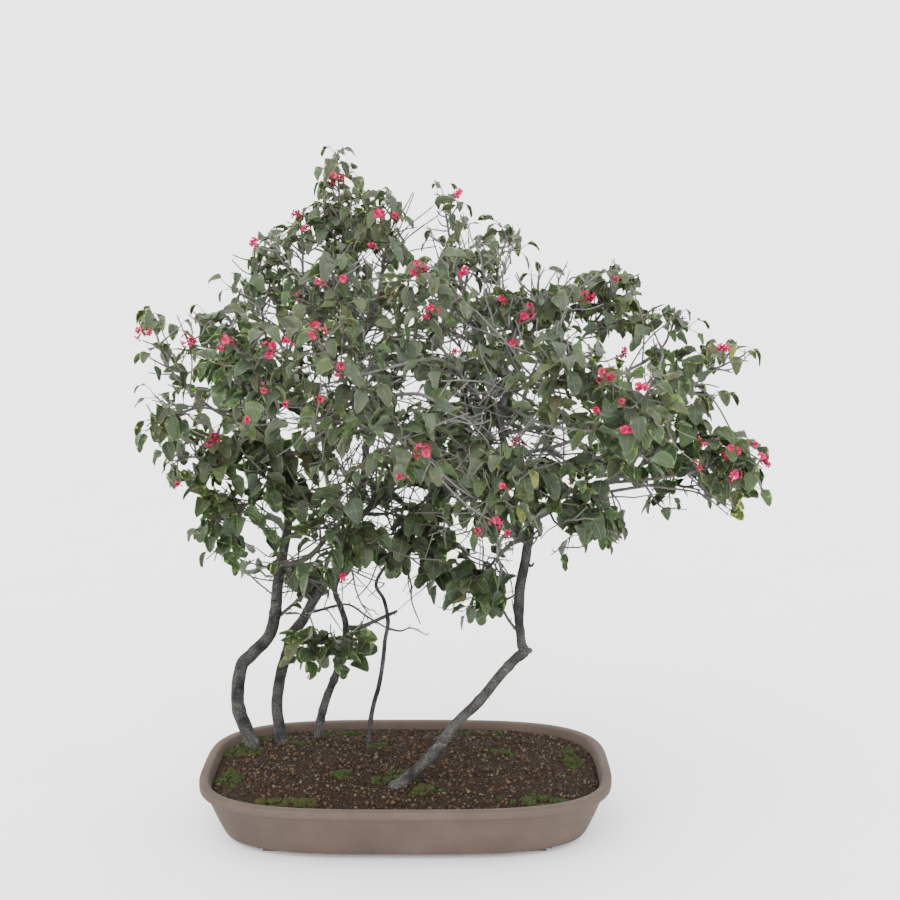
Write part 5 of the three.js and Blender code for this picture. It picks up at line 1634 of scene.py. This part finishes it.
# Patches of moss on the soil: middle, and the two half widths.
MOSS_PATCHES = [
    (-352, 92, 46, 30), (-300, 168, 52, 22), (-228, 132, 34, 22), (-150, 182, 60, 18), (-24, -92, 50, 26),
    (34, -142, 40, 22), (-70, 84, 30, 18), (262, -176, 90, 20), (342, 50, 30, 60), (130, 194, 70, 16),
    (-240, -184, 84, 18), (-356, -60, 24, 56), (190, 40, 34, 22), (-130, -70, 26, 18),
]
CUSHION = {"sides": 14, "rings": 5, "area": 200, "tufts": 0.1}


def build_moss():
    """Patches of small domed cushions, each with a fur of short tufts."""
    rng = np.random.default_rng(SEEDS["moss"])
    skin = Skin()
    for x, y, wide, deep in MOSS_PATCHES:
        for _ in range(int(wide * deep / CUSHION["area"] * math.pi)):
            out, bearing = math.sqrt(rng.random()), rng.uniform(0, FULL_TURN)
            place = np.array([x + wide * out * math.cos(bearing), y + deep * out * math.sin(bearing)])
            add_cushion(skin, place, rng.uniform(7, 17) * (1.1 - 0.45 * out), rng)
    skin.piece("moss_cushions", [moss_look()], "foliage")


def add_cushion(skin, place, radius, rng):
    sides, rings = CUSHION["sides"], CUSHION["rings"]
    turns = np.linspace(0, FULL_TURN, sides, endpoint=False)
    ground = soil_height(*place) - 2
    tall = radius * rng.uniform(0.35, 0.6) + 1.5
    rim = 1 + 0.16 * np.sin(turns * rng.integers(2, 5) + rng.uniform(0, 6))
    dome = []
    for share in np.linspace(1, 0.12, rings):
        level = ground + tall * math.sqrt(1 - share**2.2)
        ring = place + radius * share * np.column_stack([np.cos(turns), np.sin(turns)]) * rim[:, None]
        dome.append(np.column_stack([ring, level + rng.uniform(-0.5, 0.5, sides)]))
    points = np.vstack([*dome, [[*place, ground - 4], [*place, ground + tall]]])
    skin.add(points, grid(rings, sides), end_fans(rings, sides))
    for _ in range(int(radius**2 * CUSHION["tufts"])):
        out, bearing = math.sqrt(rng.random()) * 0.95, rng.uniform(0, FULL_TURN)
        spread = radius * out * np.array([math.cos(bearing), math.sin(bearing)])
        root = np.array([*(place + spread), ground + tall * math.sqrt(1 - out**2.2) - 0.6])
        lean = unit(UP + rng.uniform(-0.6, 0.6, 3) * [1, 1, 0] + [*spread / radius * 0.5, 0])
        across = around(lean, rng.uniform(0, FULL_TURN))
        ring = [root + turned(across, lean, k * FULL_TURN / 3) * 0.6 for k in range(3)]
        tip = root + lean * rng.uniform(1.6, 3.4)
        skin.add([*ring, tip], (), [[0, 1, 3], [1, 2, 3], [2, 0, 3], [2, 1, 0]])


def floor_disc(shape):
    bmesh.ops.create_circle(shape, cap_ends=True, segments=96, radius=30)


# The suns: the way they come from, how soft they are in degrees, and their strength.
SUNS = {"key": ((-2.2, -3.0, 5.0), 50, 1.4), "fill": ((0.5, -4.6, 1.1), 40, 2.1)}
SKY = {"Strength": 3.45, "Color": (0.985, 0.99, 1, 1)}
CAMERA = {"lens": 60, "sensor_width": 36}


def build_stage():
    look = Look("floor", 0.9)
    spots = look.ramp(look.noise(3, 2), (0.3, (0.85, 0.85, 0.845, 1)), (0.7, (0.87, 0.87, 0.87, 1)))
    look.put(look.shader.inputs["Base Color"], spots)
    floor = mesh_object("floor", floor_disc)
    floor.data.materials.append(look.material)

    world = bpy.data.worlds.new("studio")
    bpy.context.scene.world = world
    world.use_nodes = True
    for key, value in SKY.items():
        world.node_tree.nodes["Background"].inputs[key].default_value = value

    for name, (way, soft, strength) in SUNS.items():
        light = bpy.data.lights.new(name, "SUN")
        light.angle, light.energy = math.radians(soft), strength
        lamp = linked(name, light)
        lamp.location = way
        lamp.rotation_euler = Vector(way).to_track_quat("Z", "Y").to_euler()

    camera = linked("camera", bpy.data.cameras.new("camera"))
    camera.data.lens, camera.data.sensor_width = CAMERA["lens"], CAMERA["sensor_width"]
    camera.location = (VIEW_CENTRE - SIGHT_AHEAD * VIEW_DISTANCE) * MM
    camera.rotation_euler = Vector(SIGHT_AHEAD).to_track_quat("-Z", "Y").to_euler()
    bpy.context.scene.camera = camera


build_plant()
build_tray()
build_soil()
build_grains()
build_moss()
screen_plastic = plain_look("screen_plastic", 0.55, (28, 30, 29), (40, 42, 40), 400, 0.1)
for node in ("screen_left", "screen_right"):
    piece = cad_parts[node]
    piece.data.materials.clear()
    piece.data.materials.append(screen_plastic)
build_stage()
